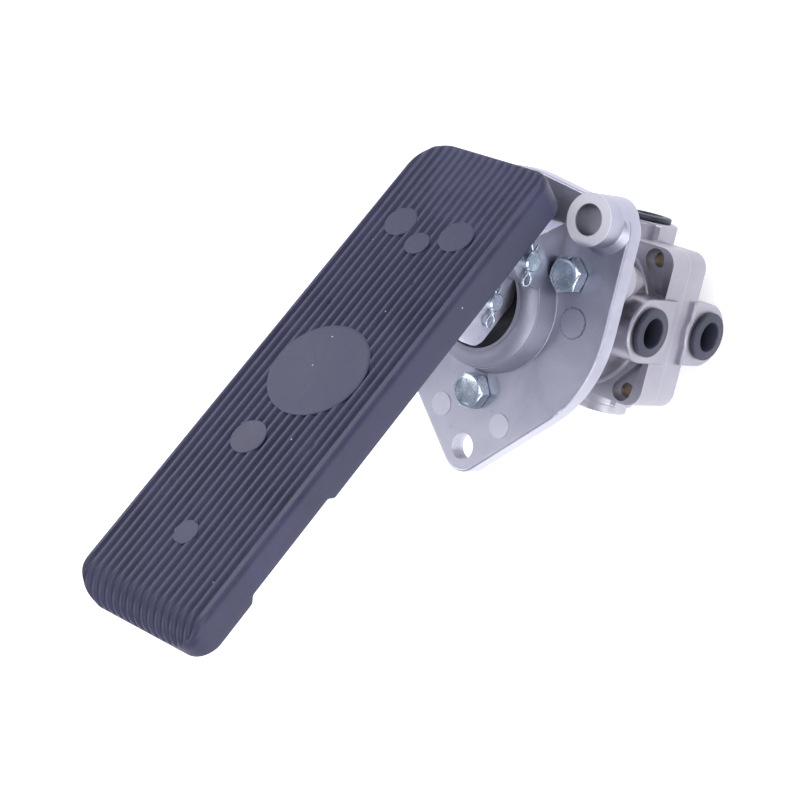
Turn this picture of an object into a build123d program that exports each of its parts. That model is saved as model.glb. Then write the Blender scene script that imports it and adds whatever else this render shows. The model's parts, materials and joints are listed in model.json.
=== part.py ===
from build123d import *
import os
from math import cos, radians, sin

# Dual-circuit foot brake valve for a truck or bus: a treadle on a cast mounting plate, above a
# two-stage air valve. Millimetres. The origin is on the valve axis, on the underside of the
# mounting plate. +Z is square to the plate, +Y runs from the treadle's heel to its toe and +X is
# the driver's right.

# Mounting plate
plate_thickness = 7.0
plate_radius = 52.4
toe_hole_y = 58.8
toe_hole_radius = 5.3
toe_corner_radius = 10.0
heel_hole_x = 40.6
heel_hole_y = -41.0
heel_bore_radius = 5.9
heel_boss_radius = 10.0
heel_boss_top = 18.2
low_boss_top = 12.0
heel_flare_radius = 12.4
heel_flare_height = 2.6
heel_edge_y = -47.0
heel_corner_radius = 9.0
mark_height = 0.3
mark_places = [(37.0, -1.0, 5.8), (-37.0, -1.0, 5.8), (15.0, 46.0, 4.7), (-15.0, 46.0, 4.7)]
edge_round = 1.0

# Raised hub round the plunger
hub_foot_radius = 28.3
hub_shoulder_radius = 26.3
hub_shoulder_z = 15.0
hub_rim_outer_radius = 19.8
hub_rim_z = 19.2
hub_rim_step = 0.7
hub_crown_drop = 1.6
hub_crown_bulge = 0.6
hub_mouth_radius = 18.8
boot_ledge_width = 2.3
boot_ledge_z = 8.5
hub_floor_z = 5.0
guide_radius = 10.0
guide_top_z = 9.0

# Hinge of the treadle
fulcrum_y = -21.0
fulcrum_z = 25.6
fulcrum_radius = 4.0
ear_inner_x = 15.4
ear_outer_x = 24.0
ear_radius = 7.6
ear_toe_foot_y = -8.0
ear_heel_foot_y = -36.0
ear_foot_height = 6.0
relief_floor_z = 12.0
stop_y = -34.0
stop_boss_radius = 7.5
stop_button_radius = 5.4

# Treadle, in its own frame: s runs from the heel end to the toe, n is square to the tread
treadle_angle = 38.0
heel_end_y = -54.6
heel_end_z = 32.6
pad_width = 63.4
pad_length = 217.8
pad_skirt = 14.2
pad_top_thickness = 4.5
pad_wall = 3.0
pad_lip = 4.0
pad_lip_thickness = 1.9
pad_corner = 9.0
pad_round_corner = 14.0
pad_toe_wall = 6.0
pad_toe_roll = 11.5
pad_edge_round = 1.6
pad_notch_start = 143.8
pad_notch_end = 192.0
pad_notch_depth = 2.5
pad_fit = 0.15
groove_count = 16
groove_pitch = 3.693
groove_first_x = -26.8
groove_width = 3.0
groove_depth = 1.25
groove_start_s = 8.0
groove_end_n = -12.7
groove_clear = 0.5
disc_depth = 1.6
disc_height = 0.15
disc_places = [
    (14.3, 39.0, 6.7),
    (-12.45, 37.9, 7.05),
    (0.8, 45.7, 5.1),
    (-0.2, 107.6, 20.2),
    (6.1, 141.7, 7.2),
    (0.9, 183.5, 4.9),
]
casting_corner = 10.85
casting_rim = 4.0
casting_floor = 3.2
casting_rib = 3.0
tray_bays = 4
cheek_inner_x = 10.4
cheek_outer_x = 14.8
cheek_lower_n = -44.3
cheek_heel_s = 12.0
cheek_lower_heel_s = 31.0
cheek_lower_toe_s = 55.5
cheek_toe_s = 59.5
cheek_knee_n = -30.3
cheek_root_toe_s = 62.5
cheek_root = 1.0
cheek_tangent_angle = 215.0
cheek_corner = 7.5
cheek_boss_radius = 9.0

# Roller and plunger
roller_y = -2.6
roller_z = 29.4
roller_radius = 11.0
roller_half_width = 10.0
roller_edge = 1.2
roller_pin_radius = 3.5
pin_overhang = 2.8
roller_gap = 0.3
pin_head_step = 1.2
pin_head_length = 0.9
pin_chamfer = 0.5
pin_fit = 0.04
cotter_radius = 0.8
cotter_length = 12.0
cotter_eye_radius = 1.5
cotter_eye_wire = 0.7
cotter_setback = 1.3
plunger_radius = 6.0
plunger_head_radius = 9.6
plunger_head_height = 3.4
plunger_edge = 0.8
plunger_foot_z = -2.0
slide_fit = 0.06

# Cap screws that hold the plate to the valve
cap_circle_radius = 36.2
cap_count = 3
cap_flats = 13.0
cap_head_height = 5.6
cap_head_bevel = 0.6
cap_washer_step = 0.35
cap_tip_chamfer = 0.8
cap_radius = 4.0
cap_length = 20.0
cap_hole_play = 0.4
thread_fit = 0.03
cap_lug_radius = 9.0
cap_lug_height = 22.0
cap_lug_tail = 14.0
cap_lug_tail_radius = 3.5
cap_lug_root_radius = 24.0
tapped_spare = 2.0

# Valve bodies
barrel_radius = 30.0
lower_barrel_radius = 25.0
seam_z = -62.0
body_bottom_z = -94.0
upper_flange = 12.0
lower_flange = 11.0
body_screw_spacing = 53.8
flange_width = 72.8
flange_length = 64.4
flange_corner = 7.0
pocket_radius = 4.4
pocket_tip_x = 32.6
pocket_tip_y = 14.6
pocket_tip_radius = 1.0
pocket_depth = 4.0
body_screw_radius = 3.0
body_screw_head_radius = 5.0
body_screw_head_height = 3.7
body_screw_play = 0.4
body_screw_end_gap = 2.0
body_screw_edge = 0.8
cross_width = 1.4
cross_length = 6.5
cross_depth = 1.6
body_round = 1.2
barrel_foot_round = 1.6

# Ports
port_boss_radius = 13.0
port_face = 38.7
port_radius = 8.0
port_depth = 12.0
passage_overlap = 1.0
passage_reach = 13.0
primary_supply_z = -41.0
primary_delivery_z = -33.0
secondary_supply_z = -80.7
secondary_delivery_z = -77.0
primary_boss_end_z = -57.0
secondary_boss_end_z = -69.0
supply_passage_radius = 5.0
delivery_passage_radius = 2.0
drilling_low_z = -75.0
drilling_high_z = -66.5
drilling_end_radius = 14.0
plug_flange_radius = 9.9
plug_flange_thickness = 2.3
plug_length = 9.0
plug_cup_radius = 5.6
plug_floor = 1.4
plug_fit = 0.1
collar_radius = 11.0
collar_length = 3.3
collar_round = 0.8
blank_recess = 0.6
blank_length = 9.0
socket_flats = 8.0
socket_depth = 5.0

# Primary stage, above the seam
primary_bore_radius = 21.0
primary_floor_z = -28.0
partition = 3.0
seat_lip = 1.0
seat_lip_width = 1.2
primary_seat_radius = 7.0
primary_chamber_radius = 16.0
primary_chamber_end_z = -50.0
piston_crown_z = -14.0
piston_crown = 3.0
piston_skirt_end_z = -23.0
piston_skirt_wall = 4.2
bore_fit = 0.07
seal_wire_radius = 1.2
seal_groove = 2.6
primary_groove_z = -19.5
exhaust_stem_radius = 5.5
exhaust_stem_bore = 3.4
exhaust_gap = 0.8
seat_touch = 0.05
valve_head_radius = 9.4
valve_head_height = 3.0
valve_tube_radius = 6.0
retainer_height = 4.0
retainer_gap = 0.6
snap_ring_height = 1.4
snap_ring_depth = 1.0
snap_ring_play = 0.1
snap_ring_reach = 2.0
snap_ring_opening = 5.0
seat_spring_disc_radius = 15.0
seat_disc_height = 3.0
rubber_spring_radius = 11.5
rubber_spring_bore = 5.2

# Secondary stage, under the relay piston
relay_bore_radius = 20.0
relay_crown_z = -52.5
relay_crown = 6.5
secondary_bore_radius = 17.0
secondary_floor_z = -69.5
secondary_partition = 2.5
secondary_seat_radius = 6.6
secondary_chamber_radius = 15.0
secondary_retainer_z = -84.0
secondary_valve_head_radius = 8.8
link_radius = 2.2
link_top_z = -10.4
link_nut_flats = 7.0
link_nut_height = 2.8
link_nut_lift = 0.3
link_depth = 3.5
link_taper = 1.0

# Coil springs
piston_spring_wire = 0.9
piston_spring_radius = 9.4
piston_spring_turns = 3.5
valve_spring_wire = 0.7
valve_spring_radius = 7.6
valve_spring_turns = 4.0

# Body seal, exhaust cover and boot
body_seal_radius = 24.6
cover_radius = 23.5
cover_thickness = 2.4
cover_hub_radius = 5.0
cover_hub_height = 3.0
cover_vent_count = 6
cover_vent_radius = 2.6
cover_vent_circle = 9.0
cover_screw_circle = 20.2
cover_screw_count = 3
cover_screw_radius = 1.5
cover_screw_length = 8.0
cover_screw_head_radius = 2.8
cover_screw_head_height = 2.0
cover_screw_edge = 0.6
cover_hole_play = 0.2
thread_end_gap = 1.0
flap_radius = 13.0
flap_thickness = 1.2
flap_screw_radius = 2.0
flap_screw_head_radius = 4.4
flap_screw_head_height = 2.2
flap_screw_edge = 1.0
boot_wall = 1.2
boot_bead_height = 2.5
boot_collar_wall = 1.6
boot_collar_gap = 0.5
boot_lift = 0.6
boot_fold = 3.0

# Places worked out from the sizes above
tread_plane = Plane(
    origin=(0, heel_end_y, heel_end_z),
    x_dir=(1, 0, 0),
    z_dir=(0, -sin(radians(treadle_angle)), cos(radians(treadle_angle))),
)
side_plane = Plane(
    origin=(0, heel_end_y, heel_end_z),
    x_dir=(0, cos(radians(treadle_angle)), sin(radians(treadle_angle))),
    z_dir=(1, 0, 0),
)
plunger_top_z = roller_z - roller_radius - roller_gap
casting_top_n = -pad_top_thickness - pad_fit
casting_bottom_n = -pad_skirt + pad_lip_thickness + pad_fit
seat_disc_z = plunger_foot_z - seat_disc_height
primary_valve_z = primary_floor_z - partition - seat_lip - seat_touch
secondary_under_z = secondary_floor_z - secondary_partition
secondary_valve_z = secondary_under_z - seat_lip - seat_touch
primary_retainer_z = primary_chamber_end_z + retainer_height + snap_ring_height
lug_half = body_screw_spacing / 2
flange_top_z = seam_z + upper_flange
boot_bead_outer = hub_mouth_radius - slide_fit
hub_well_radius = hub_mouth_radius - boot_ledge_width


def treadle_coordinates(y, z):
    """Gives the distances along the tread and square to it of a point beside the hinge."""
    dy = y - heel_end_y
    dz = z - heel_end_z
    turn = radians(treadle_angle)
    return dy * cos(turn) + dz * sin(turn), dz * cos(turn) - dy * sin(turn)


def save(piece, label):
    """Labels a finished piece and writes it to its own file."""
    piece.part.label = label
    export_step(piece.part, f"parts/{label}.step")


def turned(points):
    """Makes a solid of revolution about the valve axis from (radius, height) points."""
    with BuildPart() as piece:
        with BuildSketch(Plane.XZ):
            Polygon(*points, align=None)
        revolve(axis=Axis.Z)
    return piece


def tube(outer, inner, low, high):
    """Makes a plain tube on the valve axis."""
    return turned([(inner, low), (outer, low), (outer, high), (inner, high)])


def seal_ring(radius, wire, height):
    """Makes an O-ring on the valve axis."""
    with BuildPart() as ring:
        with BuildSketch(Plane.XZ):
            with Locations((radius, height)):
                Circle(wire)
        revolve(axis=Axis.Z)
    return ring


def coil_spring(radius, wire, low, high, turns):
    """Makes a round-wire coil spring on the valve axis between two faces."""
    rise = high - low - 2 * wire
    with BuildPart() as spring:
        with BuildLine():
            path = Helix(pitch=rise / turns, height=rise, radius=radius, center=(0, 0, low + wire))
        with BuildSketch(Plane(origin=path @ 0, z_dir=path % 0)):
            Circle(wire)
        sweep()
    return spring


def hub_profile():
    """Outlines the raised hub, from its foot over the rounded shoulder to the mouth."""
    crown_radius = (hub_shoulder_radius + hub_rim_outer_radius) / 2 + hub_crown_bulge
    with BuildSketch(Plane.XZ) as profile:
        with BuildLine():
            Polyline(
                (hub_mouth_radius, plate_thickness / 2),
                (hub_foot_radius, plate_thickness / 2),
                (hub_foot_radius, plate_thickness),
                (hub_shoulder_radius, hub_shoulder_z),
            )
            ThreePointArc(
                (hub_shoulder_radius, hub_shoulder_z),
                (crown_radius, hub_rim_z - hub_crown_drop),
                (hub_rim_outer_radius, hub_rim_z - hub_rim_step),
            )
            Polyline(
                (hub_rim_outer_radius, hub_rim_z - hub_rim_step),
                (hub_rim_outer_radius, hub_rim_z),
                (hub_mouth_radius, hub_rim_z),
                (hub_mouth_radius, plate_thickness / 2),
            )
        make_face()
    return profile


def mounting_plate():
    """Makes the cast plate with its hub, hinge ears, heel bosses and stop boss."""
    outline = plate_outline()
    hub = revolve(hub_profile().sketch, axis=Axis.Z)
    ears = [hinge_ear(side) for side in (1, -1)]
    bosses = [heel_boss(1, low_boss_top), heel_boss(-1, heel_boss_top)]
    with BuildPart() as plate:
        extrude(outline.sketch, amount=plate_thickness)
        fillet(plate.edges().group_by(Axis.Z)[-1], edge_round)
        for boss in bosses:
            add(boss.part)
        with Locations((0, stop_y)):
            Cylinder(stop_boss_radius, relief_floor_z, align=(Align.CENTER, Align.CENTER, Align.MIN))
        with BuildSketch(Plane.XY.offset(plate_thickness)):
            for x, y, radius in mark_places:
                with Locations((x, y)):
                    Circle(radius)
        extrude(amount=mark_height)
        add(hub)
        for ear in ears:
            add(ear.part)
        with BuildSketch(Plane.XY.offset(relief_floor_z)):
            with Locations((0, (ear_toe_foot_y + ear_heel_foot_y) / 2)):
                Rectangle(2 * ear_inner_x, ear_toe_foot_y - ear_heel_foot_y)
        extrude(amount=heel_boss_top, mode=Mode.SUBTRACT)
        with BuildSketch(Plane.XY.offset(hub_floor_z)):
            Circle(hub_well_radius)
        extrude(amount=hub_rim_z, mode=Mode.SUBTRACT)
        with BuildSketch(Plane.XY.offset(boot_ledge_z)):
            Circle(hub_mouth_radius)
        extrude(amount=hub_rim_z, mode=Mode.SUBTRACT)
        Cylinder(guide_radius, guide_top_z, align=(Align.CENTER, Align.CENTER, Align.MIN))
        Hole(plunger_radius + slide_fit)
        with Locations((0, toe_hole_y)):
            Hole(toe_hole_radius)
        with Locations((heel_hole_x, heel_hole_y), (-heel_hole_x, heel_hole_y)):
            Hole(heel_bore_radius)
        with PolarLocations(cap_circle_radius, cap_count, start_angle=90):
            Hole(cap_radius + cap_hole_play)
        with BuildSketch(Plane.YZ):
            with Locations((fulcrum_y, fulcrum_z)):
                Circle(fulcrum_radius + pin_fit)
        extrude(amount=2 * ear_outer_x, both=True, mode=Mode.SUBTRACT)
    return plate


def plate_outline():
    """Outlines the plate: a round with a narrow toe and two corners at the heel."""
    corner_x = plate_radius - heel_corner_radius
    with BuildSketch() as outline:
        Circle(plate_radius)
        with Locations((0, toe_hole_y)):
            Circle(toe_corner_radius)
        with Locations((corner_x, heel_edge_y + heel_corner_radius)):
            Circle(heel_corner_radius)
        with Locations((-corner_x, heel_edge_y + heel_corner_radius)):
            Circle(heel_corner_radius)
        make_hull()
    return outline


def heel_boss(side, top):
    """Makes one boss for a mounting bolt, with a flared foot that stays on the plate."""
    outline = plate_outline()
    with BuildPart() as boss:
        with Locations((side * heel_hole_x, heel_hole_y, plate_thickness)):
            Cone(
                heel_flare_radius,
                heel_boss_radius,
                heel_flare_height,
                align=(Align.CENTER, Align.CENTER, Align.MIN),
            )
        extrude(outline.sketch, amount=heel_boss_top, mode=Mode.INTERSECT)
        with Locations((side * heel_hole_x, heel_hole_y)):
            Cylinder(heel_boss_radius, top, align=(Align.CENTER, Align.CENTER, Align.MIN))
    return boss


def hinge_ear(side):
    """Makes one ear of the treadle hinge, on the driver's right for side 1."""
    with BuildPart() as ear:
        with BuildSketch(Plane.YZ.offset(side * ear_inner_x)):
            with Locations(((ear_toe_foot_y + ear_heel_foot_y) / 2, plate_thickness)):
                Rectangle(ear_toe_foot_y - ear_heel_foot_y, ear_foot_height)
            with Locations((fulcrum_y, fulcrum_z)):
                Circle(ear_radius)
            make_hull()
        extrude(amount=side * (ear_outer_x - ear_inner_x))
    return ear


def cap_screw():
    """Makes one hexagon cap screw with its head on the plate."""
    top = plate_thickness + cap_head_height
    corner = cap_flats / 2 / cos(radians(30))
    with BuildPart() as screw:
        with BuildSketch(Plane.XY.offset(plate_thickness)):
            RegularPolygon(cap_flats / 2, 6, major_radius=False)
        extrude(amount=cap_head_height)
        with BuildSketch(Plane.XZ):
            Polygon(
                (0, plate_thickness),
                (corner, plate_thickness),
                (corner, top - cap_head_bevel),
                (cap_flats / 2 - cap_washer_step, top),
                (0, top),
                align=None,
            )
        revolve(axis=Axis.Z, mode=Mode.INTERSECT)
        with BuildSketch(Plane.XY.offset(plate_thickness)):
            Circle(cap_radius)
        extrude(amount=-cap_length)
        chamfer(screw.edges().group_by(Axis.Z)[0], cap_tip_chamfer)
    return screw


def cap_screws():
    """Makes the screws that hold the plate to the valve body."""
    one = cap_screw()
    with BuildPart() as screws:
        with PolarLocations(cap_circle_radius, cap_count, start_angle=90):
            add(one.part)
    return screws


def headed_pin(y, z, radius, half_span):
    """Makes a hinge pin along X, with its head on the driver's right and a hole for a split pin."""
    with BuildPart() as pin:
        with BuildSketch(Plane.YZ.offset(-half_span - pin_overhang)):
            with Locations((y, z)):
                Circle(radius)
        extrude(amount=2 * half_span + pin_overhang)
        with BuildSketch(Plane.YZ.offset(half_span)):
            with Locations((y, z)):
                Circle(radius + pin_head_step)
        extrude(amount=pin_head_length)
        chamfer(pin.edges().group_by(Axis.X)[0], pin_chamfer)
        with BuildSketch(Plane.XZ.offset(-y)):
            with Locations((-half_span - cotter_setback, z)):
                Circle(cotter_radius + pin_fit)
        extrude(amount=2 * radius, both=True, mode=Mode.SUBTRACT)
    return pin


def cotter(y, z, half_span):
    """Makes the split pin that goes through a hinge pin along Y, with its eye towards the toe."""
    x = -half_span - cotter_setback
    with BuildPart() as split_pin:
        with BuildSketch(Plane.XZ.offset(-y - cotter_length / 2)):
            with Locations((x, z)):
                Circle(cotter_radius)
        extrude(amount=cotter_length)
        with Locations((x, y + cotter_length / 2 + cotter_radius, z)):
            Torus(cotter_eye_radius, cotter_eye_wire, rotation=(0, 90, 0))
    return split_pin


def roller():
    """Makes the roller that presses the plunger."""
    with BuildPart() as wheel:
        with BuildSketch(Plane.YZ.offset(-roller_half_width)):
            with Locations((roller_y, roller_z)):
                Circle(roller_radius)
                Circle(roller_pin_radius + pin_fit, mode=Mode.SUBTRACT)
        extrude(amount=2 * roller_half_width)
        rims = wheel.edges().filter_by(GeomType.CIRCLE).sort_by(SortBy.RADIUS)[-2:]
        chamfer(rims, roller_edge)
    return wheel


def cheek(side):
    """Makes one deep cheek under the treadle, which carries the hinge pin and the roller pin."""
    pin_s, pin_n = treadle_coordinates(fulcrum_y, fulcrum_z)
    touch_s = pin_s + cheek_boss_radius * cos(radians(cheek_tangent_angle))
    touch_n = pin_n + cheek_boss_radius * sin(radians(cheek_tangent_angle))
    with BuildPart() as side_plate:
        with BuildSketch(side_plane.offset(side * cheek_inner_x)) as outline:
            with BuildLine():
                Polyline(
                    (cheek_heel_s, casting_bottom_n + cheek_root),
                    (touch_s, touch_n),
                    (cheek_lower_heel_s, cheek_lower_n),
                    (cheek_lower_toe_s, cheek_lower_n),
                    (cheek_toe_s, cheek_knee_n),
                    (cheek_root_toe_s, casting_bottom_n + cheek_root),
                    close=True,
                )
            make_face()
            fillet(outline.vertices().group_by(Axis.Y)[0].sort_by(Axis.X)[-1], cheek_corner)
            with Locations((pin_s, pin_n)):
                Circle(cheek_boss_radius)
        extrude(amount=side * (cheek_outer_x - cheek_inner_x))
    return side_plate


def treadle_casting():
    """Makes the cast treadle: a ribbed tray under the pad and two cheeks at the hinge."""
    inset = pad_wall + pad_fit
    toe_inset = pad_toe_wall + pad_fit
    width = pad_width - 2 * inset
    outline = tread_outline(casting_bottom_n, inset, toe_inset)
    tray_start = cheek_root_toe_s + casting_rim
    tray = pad_length - toe_inset - casting_rim - tray_start
    cheeks = [cheek(side) for side in (1, -1)]
    with BuildPart() as casting:
        extrude(outline.sketch, amount=casting_top_n - casting_bottom_n)
        with BuildSketch(tread_plane.offset(casting_bottom_n)):
            with Locations((0, tray_start + tray / 2)):
                Rectangle(width - 2 * casting_rim, tray)
                Rectangle(casting_rib, tray, mode=Mode.SUBTRACT)
                with GridLocations(0, tray / tray_bays, 1, tray_bays - 1):
                    Rectangle(width, casting_rib, mode=Mode.SUBTRACT)
        extrude(amount=casting_top_n - casting_bottom_n - casting_floor, mode=Mode.SUBTRACT)
        for side_plate in cheeks:
            add(side_plate.part)
        for y, z, radius in (
            (fulcrum_y, fulcrum_z, fulcrum_radius),
            (roller_y, roller_z, roller_pin_radius),
        ):
            with BuildSketch(Plane.YZ):
                with Locations((y, z)):
                    Circle(radius + pin_fit)
            extrude(amount=2 * cheek_outer_x, both=True, mode=Mode.SUBTRACT)
    return casting


def tread_outline(height, inset, toe_inset):
    """Outlines a rounded rectangle along the tread, set in from the pad's sides, heel and toe."""
    with BuildSketch(tread_plane.offset(height)) as outline:
        with Locations((0, (pad_length + inset - toe_inset) / 2)):
            RectangleRounded(pad_width - 2 * inset, pad_length - inset - toe_inset, casting_corner)
    return outline


def pad_block():
    """Makes the pad's outer form, with a rounded top edge and a toe end that rolls over."""
    with BuildPart() as block:
        with BuildSketch(tread_plane.offset(-pad_skirt)) as outline:
            with Locations((0, pad_length / 2)):
                Rectangle(pad_width, pad_length)
            fillet(outline.vertices().group_by(Axis.Y)[-1], pad_corner)
            fillet(outline.vertices().group_by(Axis.Y)[0].sort_by(Axis.X)[0], pad_corner)
            fillet(outline.vertices().group_by(Axis.Y)[0].sort_by(Axis.X)[-1], pad_round_corner)
        extrude(amount=pad_skirt)
        fillet(block.faces().sort_by(Axis((0, 0, 0), tread_plane.z_dir))[-1].edges(), pad_edge_round)
        with BuildSketch(side_plane):
            with Locations((pad_length - pad_toe_roll / 2, -pad_toe_roll / 2)):
                Rectangle(pad_toe_roll, pad_toe_roll)
            with Locations((pad_length - pad_toe_roll, -pad_toe_roll)):
                Circle(pad_toe_roll, mode=Mode.SUBTRACT)
        extrude(amount=pad_width, both=True, mode=Mode.SUBTRACT)
    return block


def tread_groove():
    """Makes the tool for one groove of the tread, which follows the roll of the toe end."""
    with BuildPart() as groove:
        with BuildLine(side_plane):
            run = Line((groove_start_s, 0), (pad_length - pad_toe_roll, 0))
            roll = RadiusArc(run @ 1, (pad_length, -pad_toe_roll), pad_toe_roll)
            Line(roll @ 1, (pad_length, groove_end_n))
        flank = groove_width / 2 * (1 + groove_clear / groove_depth)
        start = side_plane.from_local_coords((groove_start_s, 0, 0))
        with BuildSketch(Plane(start, (1, 0, 0), side_plane.x_dir)):
            Polygon((-flank, groove_clear), (flank, groove_clear), (0, -groove_depth), align=None)
        sweep()
    return groove


def treadle_pad():
    """Makes the rubber pad: a grooved tread with discs, a skirt, and a lip that holds the casting."""
    block = pad_block()
    groove = tread_groove()
    cavity = tread_outline(casting_bottom_n - pad_fit, pad_wall, pad_toe_wall)
    opening = tread_outline(-pad_skirt, pad_wall + pad_lip, pad_toe_wall + pad_lip)
    with BuildPart() as pad:
        add(block.part)
        with Locations(*[(groove_first_x + k * groove_pitch, 0, 0) for k in range(groove_count)]):
            add(groove.part, mode=Mode.SUBTRACT)
        for x, along, radius in disc_places:
            with BuildSketch(tread_plane.offset(-disc_depth)):
                with Locations((x, along)):
                    Circle(radius)
            extrude(amount=disc_depth + disc_height)
        extrude(cavity.sketch, amount=casting_top_n - casting_bottom_n + 2 * pad_fit, mode=Mode.SUBTRACT)
        extrude(opening.sketch, amount=pad_skirt / 2, mode=Mode.SUBTRACT)
        with BuildSketch(tread_plane.offset(-pad_skirt)):
            with Locations((0, (pad_notch_start + pad_notch_end) / 2)):
                Rectangle(2 * pad_width, pad_notch_end - pad_notch_start)
        extrude(amount=pad_notch_depth, mode=Mode.SUBTRACT)
    return pad


def stop_button():
    """Makes the rubber stop that the heel of the treadle rests on, with its top on the slant."""
    with BuildPart() as button:
        with BuildSketch(Plane.XY.offset(relief_floor_z)):
            with Locations((0, stop_y)):
                Circle(stop_button_radius)
        extrude(amount=heel_end_z)
        lip_n = casting_bottom_n - roller_gap
        split(bisect_by=tread_plane.offset(lip_n), keep=Keep.BOTTOM)
    return button


def plunger():
    """Makes the plunger that the roller pushes down."""
    head_z = plunger_top_z - plunger_head_height
    return turned(
        [
            (0, plunger_foot_z),
            (plunger_radius, plunger_foot_z),
            (plunger_radius, head_z),
            (plunger_head_radius, head_z),
            (plunger_head_radius, plunger_top_z - plunger_edge),
            (plunger_head_radius - plunger_edge, plunger_top_z),
            (0, plunger_top_z),
        ]
    )


def boot():
    """Makes the rubber boot between the hub and the plunger."""
    neck = plunger_radius + slide_fit
    collar = neck + boot_collar_wall
    collar_top = plunger_top_z - plunger_head_height - boot_collar_gap
    bead_top = boot_ledge_z + boot_bead_height
    valley = guide_top_z + boot_lift
    return turned(
        [
            (hub_well_radius + slide_fit, boot_ledge_z),
            (boot_bead_outer, boot_ledge_z),
            (boot_bead_outer, bead_top),
            (hub_well_radius - boot_wall, bead_top),
            (collar + boot_fold, valley + boot_wall),
            (collar, valley + 2 * boot_wall),
            (collar, collar_top),
            (neck, collar_top),
            (neck, valley + boot_wall),
            (collar + boot_fold, valley),
            (hub_well_radius - boot_wall, bead_top - boot_wall),
        ]
    )


def spring_seat():
    """Makes the disc that passes the plunger's push to the rubber spring."""
    return turned(
        [
            (0, seat_disc_z),
            (seat_spring_disc_radius, seat_disc_z),
            (seat_spring_disc_radius, plunger_foot_z),
            (0, plunger_foot_z),
        ]
    )


def primary_piston():
    """Makes the primary piston: crown, grooved skirt and hollow exhaust stem."""
    outer = primary_bore_radius - bore_fit
    stem_end = primary_valve_z + exhaust_gap
    with BuildPart() as piston:
        with BuildSketch(Plane.XZ):
            Polygon(
                (exhaust_stem_bore, stem_end),
                (exhaust_stem_radius, stem_end),
                (exhaust_stem_radius, piston_crown_z - piston_crown),
                (outer - piston_skirt_wall, piston_crown_z - piston_crown),
                (outer - piston_skirt_wall, piston_skirt_end_z),
                (outer, piston_skirt_end_z),
                (outer, piston_crown_z),
                (exhaust_stem_bore, piston_crown_z),
                align=None,
            )
            with Locations((outer - seal_wire_radius + bore_fit / 2, primary_groove_z)):
                Rectangle(seal_groove, seal_groove, mode=Mode.SUBTRACT)
        revolve(axis=Axis.Z)
    return piston


def primary_piston_seal():
    """Makes the O-ring in the primary piston's groove."""
    radius = primary_bore_radius - bore_fit / 2 - seal_wire_radius
    return seal_ring(radius, seal_wire_radius, primary_groove_z)


def inlet_valve(top, head_radius, end):
    """Makes an inlet and exhaust valve: a rubber-faced head on a hollow tube."""
    return turned(
        [
            (exhaust_stem_bore, end),
            (valve_tube_radius, end),
            (valve_tube_radius, top - valve_head_height),
            (head_radius, top - valve_head_height),
            (head_radius, top),
            (exhaust_stem_bore, top),
        ]
    )


def relay_piston():
    """Makes the relay piston, with its exhaust stem and the tapped hole for the link."""
    outer = relay_bore_radius - bore_fit
    crown_end = relay_crown_z - relay_crown
    stem_end = secondary_valve_z + exhaust_gap
    with BuildPart() as piston:
        with BuildSketch(Plane.XZ):
            Polygon(
                (exhaust_stem_bore, stem_end),
                (exhaust_stem_radius, stem_end),
                (exhaust_stem_radius, crown_end),
                (outer, crown_end),
                (outer, relay_crown_z),
                (link_radius + thread_fit, relay_crown_z),
                (link_radius + thread_fit, relay_crown_z - link_depth),
                (exhaust_stem_bore, relay_crown_z - link_depth - link_taper),
                align=None,
            )
            with Locations((outer - seal_wire_radius + bore_fit / 2, relay_crown_z - relay_crown / 2)):
                Rectangle(seal_groove, seal_groove, mode=Mode.SUBTRACT)
        revolve(axis=Axis.Z)
    return piston


def relay_piston_seal():
    """Makes the O-ring in the relay piston's groove."""
    radius = relay_bore_radius - bore_fit / 2 - seal_wire_radius
    return seal_ring(radius, seal_wire_radius, relay_crown_z - relay_crown / 2)


def link_stem():
    """Makes the rod that ties the relay piston to the primary piston."""
    return turned(
        [
            (0, relay_crown_z - link_depth),
            (link_radius, relay_crown_z - link_depth),
            (link_radius, link_top_z),
            (0, link_top_z),
        ]
    )


def link_nut():
    """Makes the lock nut on top of the rod."""
    with BuildPart() as nut:
        with BuildSketch(Plane.XY.offset(piston_crown_z + link_nut_lift)):
            RegularPolygon(link_nut_flats / 2, 6, major_radius=False)
            Circle(link_radius + thread_fit, mode=Mode.SUBTRACT)
        extrude(amount=link_nut_height)
    return nut


def flange_plate(high, low):
    """Makes a body flange between two heights."""
    with BuildPart() as flange:
        with BuildSketch(Plane.XY.offset(low)):
            RectangleRounded(flange_width, flange_length, flange_corner)
        extrude(amount=high - low)
    return flange


def screw_pocket(side_x, side_y):
    """Makes the tool for the pocket round one body screw, which narrows along the flange's wall."""
    with BuildPart() as pocket:
        with BuildSketch(Plane.XY.offset(flange_top_z)):
            with Locations((side_x * lug_half, side_y * lug_half)):
                Circle(pocket_radius)
            with Locations((side_x * pocket_tip_x, side_y * pocket_tip_y)):
                Circle(pocket_tip_radius)
            make_hull()
        extrude(amount=-pocket_depth)
    return pocket


def port_plane(direction, height):
    """Gives the plane of a port's face."""
    return Plane(origin=Vector(*direction) * port_face + Vector(0, 0, height), z_dir=direction)


def port_cutter(direction, height):
    """Makes the tool that bores a port."""
    with BuildPart(port_plane(direction, height)) as cutter:
        Cylinder(port_radius, port_depth, align=(Align.CENTER, Align.CENTER, Align.MAX))
    return cutter


def passage_cutter(direction, passage_radius, passage_height):
    """Makes the tool that drills the straight passage behind a port."""
    inner = Vector(*direction) * (port_face - port_depth + passage_overlap) + Vector(0, 0, passage_height)
    with BuildPart(Plane(origin=inner, z_dir=direction)) as passage:
        Cylinder(passage_radius, passage_reach, align=(Align.CENTER, Align.CENTER, Align.MAX))
    return passage


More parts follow.
